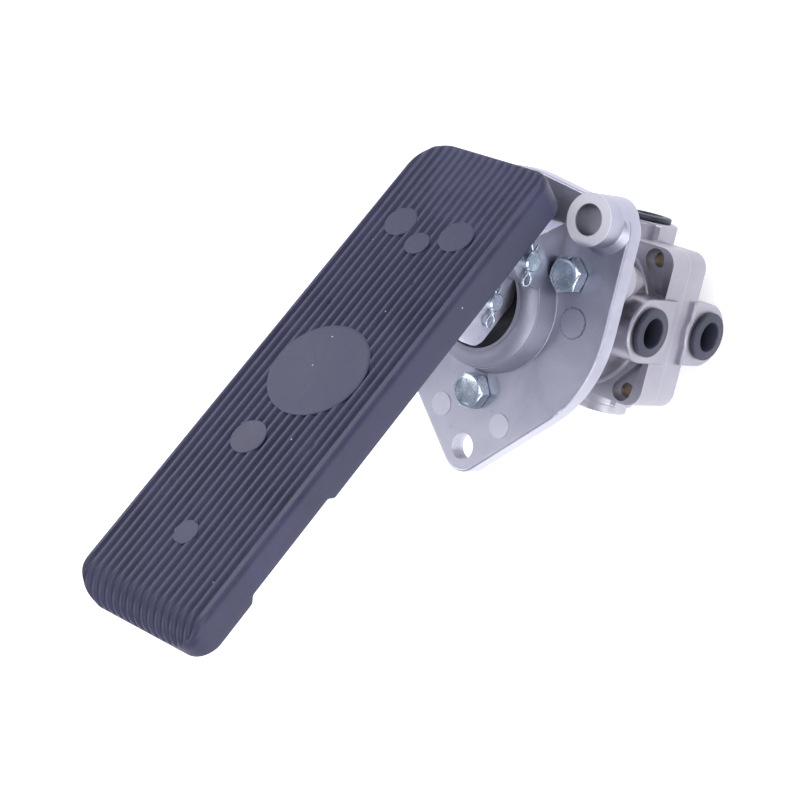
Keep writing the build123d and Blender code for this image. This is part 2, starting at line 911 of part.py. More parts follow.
def port_boss(direction, height, end_z):
    """Makes a port's boss, from the valve axis to the port's face, drawn out to another height."""
    base = Plane(origin=(0, 0, height), x_dir=(0, 0, 1), z_dir=direction)
    with BuildPart() as boss:
        with BuildSketch(base):
            Circle(port_boss_radius)
            with Locations(((end_z - height) / 2, 0)):
                Rectangle(abs(end_z - height), 2 * port_boss_radius)
        extrude(amount=port_face)
        fillet(boss.faces().sort_by(Axis((0, 0, 0), direction))[-1].edges(), body_round)
    return boss


left = (-1, 0, 0)
right = (1, 0, 0)
heelward = (0, -1, 0)
toeward = (0, 1, 0)


def cap_lug(index):
    """Makes one of the lugs that the cap screws go into, blended into the barrel."""
    with BuildPart() as lug:
        with BuildSketch():
            with PolarLocations(cap_circle_radius, 1, start_angle=90 + index * 360 / cap_count):
                Circle(cap_lug_radius)
            Circle(cap_lug_root_radius)
            make_hull()
        extrude(amount=-cap_lug_height)
    return lug


def toe_collar():
    """Makes the collar that lengthens the toe port's boss."""
    with BuildPart(port_plane(toeward, secondary_delivery_z)) as collar:
        Cylinder(collar_radius, collar_length, align=(Align.CENTER, Align.CENTER, Align.MIN))
        fillet(collar.edges().sort_by(Axis.Y)[-1], collar_round)
        Cylinder(
            port_radius,
            collar_length,
            align=(Align.CENTER, Align.CENTER, Align.MIN),
            mode=Mode.SUBTRACT,
        )
    return collar


def barrel_foot_edges(body):
    """Picks the edges where the barrel meets the top of the flange."""
    rounds = body.edges().filter_by(GeomType.CIRCLE)
    return [
        edge
        for edge in rounds
        if abs(edge.radius - barrel_radius) < slide_fit and abs(edge.center().Z - flange_top_z) < slide_fit
    ]


def upper_body():
    """Makes the upper body casting, which holds the primary stage."""
    passage_z = primary_floor_z + delivery_passage_radius
    flange = flange_plate(flange_top_z, seam_z)
    pockets = [screw_pocket(x, y) for x in (1, -1) for y in (1, -1)]
    cap_lugs = [cap_lug(index) for index in range(cap_count)]
    bosses = [
        port_boss(left, primary_supply_z, primary_boss_end_z),
        port_boss(right, primary_delivery_z, primary_boss_end_z),
    ]
    cutters = [
        port_cutter(left, primary_supply_z),
        passage_cutter(left, supply_passage_radius, primary_supply_z),
        port_cutter(right, primary_delivery_z),
        passage_cutter(right, delivery_passage_radius, passage_z),
    ]
    with BuildPart() as body:
        Cylinder(barrel_radius, -seam_z, align=(Align.CENTER, Align.CENTER, Align.MAX))
        for lug in cap_lugs:
            add(lug.part)
        with PolarLocations(cap_circle_radius, cap_count, start_angle=90):
            with Locations((0, 0, -cap_lug_height)):
                Cone(
                    cap_lug_tail_radius,
                    cap_lug_radius,
                    cap_lug_tail,
                    align=(Align.CENTER, Align.CENTER, Align.MAX),
                )
        add(flange.part)
        fillet(barrel_foot_edges(body), barrel_foot_round)
        for pocket in pockets:
            add(pocket.part, mode=Mode.SUBTRACT)
        for boss in bosses:
            add(boss.part)
        with BuildSketch():
            Circle(primary_bore_radius)
        extrude(amount=primary_floor_z, mode=Mode.SUBTRACT)
        with BuildSketch():
            Circle(primary_seat_radius)
        extrude(amount=seam_z, mode=Mode.SUBTRACT)
        with BuildSketch(Plane.XY.offset(primary_floor_z - partition)):
            Circle(primary_chamber_radius)
            Circle(primary_seat_radius + seat_lip_width, mode=Mode.SUBTRACT)
        extrude(amount=primary_chamber_end_z - primary_floor_z + partition, mode=Mode.SUBTRACT)
        with BuildSketch(Plane.XY.offset(primary_floor_z - partition - seat_lip)):
            Circle(primary_chamber_radius)
        extrude(amount=primary_chamber_end_z - primary_floor_z + partition + seat_lip, mode=Mode.SUBTRACT)
        with BuildSketch(Plane.XY.offset(primary_chamber_end_z)):
            Circle(relay_bore_radius)
        extrude(amount=seam_z - primary_chamber_end_z, mode=Mode.SUBTRACT)
        with BuildSketch(Plane.XY.offset(primary_chamber_end_z + snap_ring_height)):
            Circle(primary_chamber_radius + snap_ring_depth)
        extrude(amount=-snap_ring_height, mode=Mode.SUBTRACT)
        for cutter in cutters:
            add(cutter.part, mode=Mode.SUBTRACT)
        with PolarLocations(cap_circle_radius, cap_count, start_angle=90):
            Hole(cap_radius + thread_fit, depth=cap_length - plate_thickness + tapped_spare)
        with BuildSketch(Plane.XY.offset(seam_z)):
            with GridLocations(body_screw_spacing, body_screw_spacing, 2, 2):
                Circle(body_screw_radius + thread_fit)
        extrude(amount=upper_flange, mode=Mode.SUBTRACT)
    return body


def lower_body():
    """Makes the lower body casting, which holds the secondary stage."""
    groove = 2 * seal_wire_radius
    flange = flange_plate(seam_z, seam_z - lower_flange)
    bosses = [port_boss(left, secondary_supply_z, secondary_boss_end_z)]
    cutters = [
        port_cutter(left, secondary_supply_z),
        passage_cutter(left, supply_passage_radius, secondary_supply_z),
    ]
    for direction in (heelward, toeward):
        bosses.append(port_boss(direction, secondary_delivery_z, secondary_boss_end_z))
        cutters.append(port_cutter(direction, secondary_delivery_z))
        cutters.append(delivery_drilling(direction))
    collar = toe_collar()
    with BuildPart() as body:
        with Locations((0, 0, seam_z)):
            Cylinder(
                lower_barrel_radius,
                seam_z - body_bottom_z,
                align=(Align.CENTER, Align.CENTER, Align.MAX),
            )
        add(flange.part)
        for boss in bosses:
            add(boss.part)
        with BuildSketch(Plane.XY.offset(seam_z)):
            Circle(secondary_bore_radius)
        extrude(amount=secondary_floor_z - seam_z, mode=Mode.SUBTRACT)
        with BuildSketch(Plane.XY.offset(seam_z)):
            Circle(secondary_seat_radius)
        extrude(amount=body_bottom_z - seam_z, mode=Mode.SUBTRACT)
        with BuildSketch(Plane.XY.offset(secondary_under_z)):
            Circle(secondary_chamber_radius)
            Circle(secondary_seat_radius + seat_lip_width, mode=Mode.SUBTRACT)
        extrude(amount=body_bottom_z - secondary_under_z, mode=Mode.SUBTRACT)
        with BuildSketch(Plane.XY.offset(secondary_under_z - seat_lip)):
            Circle(secondary_chamber_radius)
        extrude(amount=body_bottom_z - secondary_under_z, mode=Mode.SUBTRACT)
        with BuildSketch(Plane.XY.offset(secondary_retainer_z - retainer_height)):
            Circle(secondary_chamber_radius + snap_ring_depth)
        extrude(amount=-snap_ring_height, mode=Mode.SUBTRACT)
        with BuildSketch(Plane.XY.offset(seam_z)):
            Circle(body_seal_radius + groove / 2)
            Circle(body_seal_radius - groove / 2, mode=Mode.SUBTRACT)
        extrude(amount=-groove, mode=Mode.SUBTRACT)
        for cutter in cutters:
            add(cutter.part, mode=Mode.SUBTRACT)
        add(collar.part)
        with GridLocations(body_screw_spacing, body_screw_spacing, 2, 2):
            with Locations((0, 0, seam_z)):
                Cylinder(
                    body_screw_radius + body_screw_play,
                    lower_flange,
                    align=(Align.CENTER, Align.CENTER, Align.MAX),
                    mode=Mode.SUBTRACT,
                )
        with PolarLocations(cover_screw_circle, cover_screw_count, start_angle=30):
            with Locations((0, 0, body_bottom_z)):
                Cylinder(
                    cover_screw_radius + thread_fit,
                    cover_screw_length - cover_thickness + thread_end_gap,
                    align=(Align.CENTER, Align.CENTER, Align.MIN),
                    mode=Mode.SUBTRACT,
                )
    return body


def delivery_drilling(direction):
    """Makes the slanted passage from a secondary delivery port up to the cavity of its piston."""
    outward = Vector(*direction)
    start = outward * (port_face - port_depth + passage_overlap) + Vector(0, 0, drilling_low_z)
    end = outward * drilling_end_radius + Vector(0, 0, drilling_high_z)
    with BuildPart(Plane(origin=start, z_dir=end - start)) as drilling:
        Cylinder(
            delivery_passage_radius,
            (end - start).length,
            align=(Align.CENTER, Align.CENTER, Align.MIN),
        )
    return drilling


def valve_retainer(chamber_radius, top):
    """Makes the ring that guides a valve tube and carries its spring."""
    return tube(chamber_radius - slide_fit, valve_tube_radius + slide_fit, top - retainer_height, top)


def snap_rings():
    """Makes the two retaining rings that hold the valve retainers."""
    with BuildPart() as rings:
        for radius, top in (
            (primary_chamber_radius, primary_chamber_end_z + snap_ring_height),
            (secondary_chamber_radius, secondary_retainer_z - retainer_height),
        ):
            with BuildSketch(Plane.XY.offset(top - snap_ring_play / 2)):
                Circle(radius + snap_ring_depth - snap_ring_play)
                Circle(radius - snap_ring_reach, mode=Mode.SUBTRACT)
                with Locations((radius, 0)):
                    Rectangle(3 * snap_ring_reach, snap_ring_opening, mode=Mode.SUBTRACT)
            extrude(amount=-snap_ring_height + snap_ring_play)
    return rings


def body_screws():
    """Makes the four screws that hold the lower body to the upper one."""
    head_z = seam_z - lower_flange
    with BuildPart() as screws:
        with BuildSketch(Plane.XY.offset(head_z)):
            with GridLocations(body_screw_spacing, body_screw_spacing, 2, 2):
                Circle(body_screw_head_radius)
        extrude(amount=-body_screw_head_height)
        fillet(screws.edges().group_by(Axis.Z)[0], body_screw_edge)
        with BuildSketch(Plane.XY.offset(head_z)):
            with GridLocations(body_screw_spacing, body_screw_spacing, 2, 2):
                Circle(body_screw_radius)
        extrude(amount=lower_flange + upper_flange - pocket_depth - body_screw_end_gap)
        with BuildSketch(Plane.XY.offset(head_z - body_screw_head_height)):
            with GridLocations(body_screw_spacing, body_screw_spacing, 2, 2):
                Rectangle(cross_width, cross_length)
                Rectangle(cross_length, cross_width)
        extrude(amount=cross_depth, mode=Mode.SUBTRACT)
    return screws


def port_plug(direction, height):
    """Makes the hollow shipping plug of one port."""
    with BuildPart(port_plane(direction, height)) as plug:
        Cylinder(
            plug_flange_radius,
            plug_flange_thickness,
            align=(Align.CENTER, Align.CENTER, Align.MIN),
        )
        Cylinder(port_radius - plug_fit, plug_length, align=(Align.CENTER, Align.CENTER, Align.MAX))
        with Locations((0, 0, plug_flange_thickness)):
            Cylinder(
                plug_cup_radius,
                plug_flange_thickness + plug_length - plug_floor,
                align=(Align.CENTER, Align.CENTER, Align.MAX),
                mode=Mode.SUBTRACT,
            )
    return plug


def blanking_plug():
    """Makes the steel socket plug that closes the toe port, flush with its collar."""
    end = port_plane(toeward, secondary_delivery_z).offset(collar_length - blank_recess)
    with BuildPart(end) as plug:
        Cylinder(port_radius - plug_fit, blank_length, align=(Align.CENTER, Align.CENTER, Align.MAX))
        chamfer(plug.edges().sort_by(Axis.Y)[-1], blank_recess)
        with BuildSketch(end):
            RegularPolygon(socket_flats / 2, 6, major_radius=False)
        extrude(amount=-socket_depth, mode=Mode.SUBTRACT)
    return plug


def exhaust_cover():
    """Makes the exhaust cover on the bottom of the lower body."""
    low = body_bottom_z - cover_thickness
    with BuildPart() as cover:
        with BuildSketch(Plane.XY.offset(low)):
            Circle(cover_radius)
            with PolarLocations(cover_vent_circle, cover_vent_count):
                Circle(cover_vent_radius, mode=Mode.SUBTRACT)
            with PolarLocations(cover_screw_circle, cover_screw_count, start_angle=30):
                Circle(cover_screw_radius + cover_hole_play, mode=Mode.SUBTRACT)
        extrude(amount=cover_thickness)
        with BuildSketch(Plane.XY.offset(low)):
            Circle(cover_hub_radius)
        extrude(amount=cover_thickness + cover_hub_height)
        with BuildSketch(Plane.XY.offset(low)):
            Circle(flap_screw_radius + thread_fit)
        extrude(amount=cover_thickness + cover_hub_height, mode=Mode.SUBTRACT)
    return cover


def cover_screws():
    """Makes the screws that hold the exhaust cover."""
    head_z = body_bottom_z - cover_thickness
    with BuildPart() as screws:
        with BuildSketch(Plane.XY.offset(head_z)):
            with PolarLocations(cover_screw_circle, cover_screw_count, start_angle=30):
                Circle(cover_screw_head_radius)
        extrude(amount=-cover_screw_head_height)
        fillet(screws.edges().group_by(Axis.Z)[0], cover_screw_edge)
        with BuildSketch(Plane.XY.offset(head_z)):
            with PolarLocations(cover_screw_circle, cover_screw_count, start_angle=30):
                Circle(cover_screw_radius)
        extrude(amount=cover_screw_length)
    return screws


def exhaust_flap():
    """Makes the rubber flap that keeps dirt out of the exhaust."""
    low = body_bottom_z - cover_thickness - flap_thickness
    return tube(flap_radius, flap_screw_radius + thread_fit, low, low + flap_thickness)


def flap_screw():
    """Makes the screw in the middle of the exhaust flap."""
    head_z = body_bottom_z - cover_thickness - flap_thickness
    return turned(
        [
            (0, head_z - flap_screw_head_height),
            (flap_screw_head_radius - flap_screw_edge, head_z - flap_screw_head_height),
            (flap_screw_head_radius, head_z - flap_screw_head_height + flap_screw_edge),
            (flap_screw_head_radius, head_z),
            (flap_screw_radius, head_z),
            (flap_screw_radius, body_bottom_z + cover_hub_height - thread_end_gap),
            (0, body_bottom_z + cover_hub_height - thread_end_gap),
        ]
    )


os.makedirs("parts", exist_ok=True)

save(mounting_plate(), "mounting_plate")
save(cap_screws(), "mounting_cap_screws")
save(headed_pin(fulcrum_y, fulcrum_z, fulcrum_radius, ear_outer_x), "fulcrum_pin")
save(cotter(fulcrum_y, fulcrum_z, ear_outer_x), "fulcrum_pin_cotter")
save(treadle_casting(), "treadle_casting")
save(treadle_pad(), "treadle_pad")
save(roller(), "roller")
save(headed_pin(roller_y, roller_z, roller_pin_radius, cheek_outer_x), "roller_pin")
save(cotter(roller_y, roller_z, cheek_outer_x), "roller_pin_cotter")
save(stop_button(), "treadle_stop_button")
save(plunger(), "plunger")
save(boot(), "plunger_boot")
save(spring_seat(), "spring_seat")
save(
    tube(rubber_spring_radius, rubber_spring_bore, piston_crown_z, seat_disc_z), "rubber_graduating_spring"
)
save(primary_piston(), "primary_piston")
save(primary_piston_seal(), "primary_piston_seal")
save(
    coil_spring(
        piston_spring_radius,
        piston_spring_wire,
        primary_floor_z,
        piston_crown_z - piston_crown,
        piston_spring_turns,
    ),
    "primary_piston_spring",
)
save(
    inlet_valve(
        primary_valve_z, valve_head_radius, primary_retainer_z - retainer_height - retainer_gap
    ),
    "primary_inlet_valve",
)
save(
    coil_spring(
        valve_spring_radius,
        valve_spring_wire,
        primary_retainer_z,
        primary_valve_z - valve_head_height,
        valve_spring_turns,
    ),
    "primary_valve_spring",
)
save(valve_retainer(primary_chamber_radius, primary_retainer_z), "primary_valve_retainer")
save(relay_piston(), "relay_piston")
save(relay_piston_seal(), "relay_piston_seal")
save(
    coil_spring(
        piston_spring_radius,
        piston_spring_wire,
        secondary_floor_z,
        relay_crown_z - relay_crown,
        piston_spring_turns,
    ),
    "relay_piston_spring",
)
save(link_stem(), "relay_link_stem")
save(link_nut(), "relay_link_nut")
save(
    inlet_valve(
        secondary_valve_z,
        secondary_valve_head_radius,
        secondary_retainer_z - retainer_height - retainer_gap,
    ),
    "secondary_inlet_valve",
)
save(
    coil_spring(
        valve_spring_radius,
        valve_spring_wire,
        secondary_retainer_z,
        secondary_valve_z - valve_head_height,
        valve_spring_turns,
    ),
    "secondary_valve_spring",
)
save(valve_retainer(secondary_chamber_radius, secondary_retainer_z), "secondary_valve_retainer")
save(snap_rings(), "retaining_rings")
save(upper_body(), "upper_body")
save(lower_body(), "lower_body")
save(seal_ring(body_seal_radius, seal_wire_radius - slide_fit, seam_z - seal_wire_radius), "body_seal")
save(body_screws(), "body_screws")
save(port_plug(left, primary_supply_z), "primary_supply_plug")
save(port_plug(right, primary_delivery_z), "primary_delivery_plug")
save(port_plug(left, secondary_supply_z), "secondary_supply_plug")
save(port_plug(heelward, secondary_delivery_z), "secondary_delivery_plug_heel")
save(blanking_plug(), "secondary_delivery_plug_toe")
save(exhaust_cover(), "exhaust_cover")
save(cover_screws(), "exhaust_cover_screws")
save(exhaust_flap(), "exhaust_flap")
save(flap_screw(), "exhaust_flap_screw")
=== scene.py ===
import json
import math

import bmesh
import bpy
from mathutils import Matrix, Vector, noise

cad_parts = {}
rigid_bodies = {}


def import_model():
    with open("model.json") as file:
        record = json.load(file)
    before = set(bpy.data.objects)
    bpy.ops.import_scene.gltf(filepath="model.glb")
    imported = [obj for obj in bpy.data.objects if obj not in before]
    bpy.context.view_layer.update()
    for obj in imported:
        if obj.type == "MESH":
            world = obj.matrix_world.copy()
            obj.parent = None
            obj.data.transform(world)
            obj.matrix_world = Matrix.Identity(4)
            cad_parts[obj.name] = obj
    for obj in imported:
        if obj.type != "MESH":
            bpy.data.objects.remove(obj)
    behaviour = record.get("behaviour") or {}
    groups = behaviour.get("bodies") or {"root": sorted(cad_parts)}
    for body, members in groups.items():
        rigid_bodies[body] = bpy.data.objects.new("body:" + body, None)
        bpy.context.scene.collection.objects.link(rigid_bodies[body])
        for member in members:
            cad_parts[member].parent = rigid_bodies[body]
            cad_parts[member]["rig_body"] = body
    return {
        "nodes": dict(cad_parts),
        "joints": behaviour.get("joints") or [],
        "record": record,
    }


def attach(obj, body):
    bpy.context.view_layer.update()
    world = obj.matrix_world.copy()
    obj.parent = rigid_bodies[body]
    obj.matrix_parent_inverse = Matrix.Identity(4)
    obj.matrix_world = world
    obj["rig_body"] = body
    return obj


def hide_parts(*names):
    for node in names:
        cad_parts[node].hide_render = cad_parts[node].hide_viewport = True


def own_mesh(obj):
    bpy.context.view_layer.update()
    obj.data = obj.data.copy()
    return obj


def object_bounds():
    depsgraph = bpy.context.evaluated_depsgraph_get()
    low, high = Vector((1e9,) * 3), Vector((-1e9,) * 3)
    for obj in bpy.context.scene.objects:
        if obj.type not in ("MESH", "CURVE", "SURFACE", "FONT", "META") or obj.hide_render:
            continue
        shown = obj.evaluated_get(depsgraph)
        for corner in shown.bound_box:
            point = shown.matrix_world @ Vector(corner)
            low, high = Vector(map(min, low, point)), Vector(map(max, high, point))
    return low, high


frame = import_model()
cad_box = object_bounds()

# Lengths are millimetres until a mesh is made, and metres in the shaders, the lamps and the camera
MM = 0.001

# The treadle pad, in its own axes: across, along from the heel, and out of the tread
TREAD_ANGLE = math.radians(38)
HEEL_END = Vector((0, -54.6, 32.6))
ALONG = Vector((0, math.cos(TREAD_ANGLE), math.sin(TREAD_ANGLE)))
OUTWARD = Vector((0, -math.sin(TREAD_ANGLE), math.cos(TREAD_ANGLE)))
PAD_WIDTH = 63.4
PAD_LENGTH = 217.8
PAD_CORNER = 9.0
PAD_ROUND_CORNER = 14.0
PAD_INNER_CORNER = 10.85
PAD_SKIRT = 14.2
PAD_WALL = 3.0
PAD_TOE_WALL = 6.0
PAD_TOE_ROLL = 11.5
ROLL_START = PAD_LENGTH - PAD_TOE_ROLL
TOE_STRIP = 1.2
PAD_LIP = 4.0
PAD_LIP_THICKNESS = 1.9
PAD_CEILING = -4.5
PAD_EDGE = 1.7
NOTCH = (143.8, 192.0)
NOTCH_DEPTH = 2.5
NOTCH_SLOPE = 3.0
VALLEY_COUNT = 16
VALLEY_FIRST = -26.8
VALLEY_PITCH = 3.693
VALLEY_DEPTH = 1.25
VALLEY_STEPS = 10
HEEL_FADE = (1.5, 70.0)
HEEL_SHARE = 0.42
HEEL_EDGE = (0.6, 2.4)
TOE_FADE = 1.3
TREAD_TOE_CORNER = 22.0
ROW_COUNT = 240
INSET_REACH = 16.0
EDGE_STEPS = (0, 0.08, 0.25, 0.55, 0.95, 1.4, 2.0)
# How the grooves wander and vary in depth, how wide their sides are, and how much the ribs are crowned
WANDER = 0.10
WANDER_SCALE = (0.05, 0.03)
DEPTH_SWING = 0.12
DEPTH_SCALE = (0.4, 0.09)
DEPTH_SEED = 4.0
VALLEY_SIDE = (0.02, 0.72)
RIB_CROWN = 0.05
# The skirt's section: shares of its wall, height of the wall's foot, and insets and rises round the foot
WALL_SHARES = (0.12, 0.35, 0.68, 1.0)
FOOT_HEIGHT = 0.8
FOOT_ROUND = ((0.1, 0.4), (0.35, 0.1), (0.8, 0.0))
LIP_ROUND = (0.4, 0.3)
LIP_LEAST = (0.35, 0.4)
LIP_SLOPE = 0.02
# Flat discs moulded into the tread: across, along, radius, height over the tread, how ragged
DISCS = (
    (14.3, 39.0, 6.7, 0.12, 0.02),
    (-12.45, 37.9, 7.05, 0.12, 0.02),
    (0.8, 45.7, 5.1, 0.25, 0.06),
    (-0.2, 107.6, 20.2, 0.14, 0.004),
    (6.1, 141.7, 7.2, 0.14, 0.02),
    (0.9, 183.5, 4.9, 0.10, 0.11),
)
DISC_DEPTH = 1.5
DISC_ROUND = 0.22
DISC_SHARES = (0.93, 0.8, 0.6, 0.35, 0.12)
DISC_DOME = 0.04
DISC_SWELL = 0.05
DISC_STEPS = 120
# Small pits in the tread: across, along, radius
PITS = ((17.6, 80.0, 0.8), (-21.0, 135.5, 0.8), (-9.6, 62.0, 0.5), (22.0, 168.0, 0.5))
PIT_DEPTH = 0.9
PIT_REACH = 3

# Cap screws on the mounting plate
PLATE_TOP = 7.0
CAP_CIRCLE = 36.2
# Each screw's place round the circle and the turn of its head, in degrees
CAP_TURNS = ((90, 4), (210, 17), (330, 41))
CAP_FLATS = 13.0
CAP_HEIGHT = 5.6
CAP_RADIUS = 4.0
CAP_LENGTH = 20.0
CAP_TIP = 0.8
CAP_STEPS = 72
CHAMFER_SHARE = 0.915
CHAMFER_SLOPE = math.radians(30)
UNDER_SLOPE = math.radians(20)
WASHER_FACE = 0.35
DISH_DEPTH = 0.42

# Fine raised lines where the hub meets the plate and turns over at its shoulder: radius, height, wire
HUB_LINES = ((28.4, 7.05, 0.34), (26.25, 15.1, 0.3))
HUB_LINE_STEPS = 180
HUB_LINE_SIDES = 8

# Where the casting's colour changes, in metres: each pair goes from no change to the full change. The
# change under the plate, on the hub and in the heel bores is painted shade, and towards the toe it is a
# painted reflection
UNDER_PLATE_SHADE = (-0.0002, -0.0012)
BOSS_FACE_RISE = (0.0176, 0.0180)
BOSS_REACH = (-0.031, -0.033)
MARK_RISE = (0.00715, 0.00722)
MARK_TOP = (0.0074, 0.0073)
MARK_REACH = (0.02, 0.03)
TOE_REACH = (0.015, 0.050)
HUB_EDGE = (0.0289, 0.0284)
HUB_RISE = (0.0071, 0.0076)
BORE_EDGE = (0.0062, 0.00595)
BORE_RISE = (0.0, 0.001)
OUTLINE_WIDTH = (0.00045, 0.00015)
OUTLINE_RISE = (0.0064, 0.0068)
OUTLINE_WANDER = 0.0012
# Heel bores: across and along. The round side marks: across, along, radius
HEEL_BORE = (40.6, -41.0)
SIDE_MARK = (37.0, -1.0, 5.8)
# Colours of those places, and how strongly they show. The toe colour is a painted reflection, and the hub
# colour is painted shade
MACHINED_COLOUR = (0.86, 0.86, 0.90, 1.0)
TOE_PAINTED_REFLECTION = (0.80, 0.80, 0.86, 1.0)
HUB_PAINTED_SHADE = (0.36, 0.36, 0.43, 1.0)
SHADE_COLOUR = (0.10, 0.10, 0.13, 1.0)
MARK_SHARE = 0.45
TOE_REFLECTION_SHARE = 0.55
HUB_SHADE_SHARE = 0.75
HUB_ROUGHER = 0.16
BORE_SHARE = 0.8
OUTLINE_SHARE = 0.6

# Metals: how clouds and patches share the tone, where it goes from dark to light, and specks in it
CLOUD_SHARE = 0.6
PATCH_SHARE = 0.4
PATCH_SCALE = 0.3
METAL_TONE = (0.36, 0.64)
SPECK_SCALE = 0.25
SPECK_RANGE = (0.66, 0.74)
SPECK_SHARE = 0.25
SPECK_COLOUR = (0.32, 0.32, 0.36, 1.0)
# Edges lighter from wear and from a painted highlight: their width, and how much lighter they are. Painted
# shade in recesses: its reach, and how dark it is
METAL_EDGE = 0.0007
EDGE_WEAR_AND_HIGHLIGHT = (1.12, 0.04)
METAL_RECESS = 0.012
METAL_RECESS_SHADE_DARK = 0.3
# Ranges with what they map to: how much painted recess shade there is under the plate, and how metallic the
# shaded recesses and machined places are
RECESS_SHADE_BELOW = (0.0, -0.002, 1.0, 0.35)
RECESS_SHADE_METALLIC = (0.0, 1.0, 1.0, 0.1)
MACHINED_METALLIC = (0.0, 1.0, 1.0, 0.35)
METAL_FINE_SHARE = 0.5
METAL_POLISH = (0.5, 1.0)
METAL_SOFT_BUMP = 0.00012

# Rubber and plastic: bloom, edges, scuffs, dust, painted shade in recesses and polish
BLOOM_SCALE = 38
POLYMER_TONE = (0.34, 0.66)
POLYMER_EDGE = 0.0006
PALE_LIGHT = (2.2, 0.02)
SCUFF_SCALE = 260
SCUFF_STRETCH = (1.0, 0.12, 0.12)
SCUFF_RANGE = (0.66, 0.8)
DUST_SCALE = 150.0
DUST_SPOT = (0.05, 0.035)
DUST_PATCH_SCALE = 90
DUST_RANGE = (0.56, 0.6)
DUST_COLOUR = (0.8, 0.8, 0.84, 1.0)
POLYMER_RECESS = (0.01, 0.25, 0.8)
POLYMER_RECESS_SHADE_DARK = 0.15
POLYMER_FINE_SHARE = 0.4
POLYMER_POLISH = (0.45, 0.95)
POLYMER_SOFT_BUMP = 0.00008

# Shipping plugs: where each port faces, and the height of its axis
PORT_FACE = 38.7
PORTS = {
    "primary_supply_plug": ((-1, 0, 0), -41.0),
    "primary_delivery_plug": ((1, 0, 0), -33.0),
    "secondary_supply_plug": ((-1, 0, 0), -80.7),
    "secondary_delivery_plug_heel": ((0, -1, 0), -77.0),
}
# Half section of a plug: radius, and distance out of the port's face
PLUG_PROFILE = (
    (0, -7.6), (5.3, -7.6), (5.7, -7.2), (5.95, 1.5), (6.05, 2.15), (6.3, 2.42), (6.7, 2.42),
    (6.95, 2.3), (9.2, 2.3), (9.6, 2.18), (9.82, 1.85), (9.9, 1.3), (9.9, 0.6), (9.75, 0.2),
    (9.3, 0), (7.9, 0), (7.9, -8.6), (7.5, -9.0), (0, -9.0),
)

# Split pins: the crossed pin's place along the valve and up, and its half span
PIN_SETBACK = 1.3
PINS = {"fulcrum_pin_cotter": (-21.0, 25.6, 24.0), "roller_pin_cotter": (-2.6, 29.4, 14.8)}
COTTER_LENGTH = 12.0
COTTER_WIRE = 0.52
COTTER_EYE = 2.2
COTTER_SPREAD = 1.6
EYE_TURN = 140
EYE_STEP = 14

# Soft parts inside, in metres: the distance within which split points are joined
WELD_REACH = 1e-7


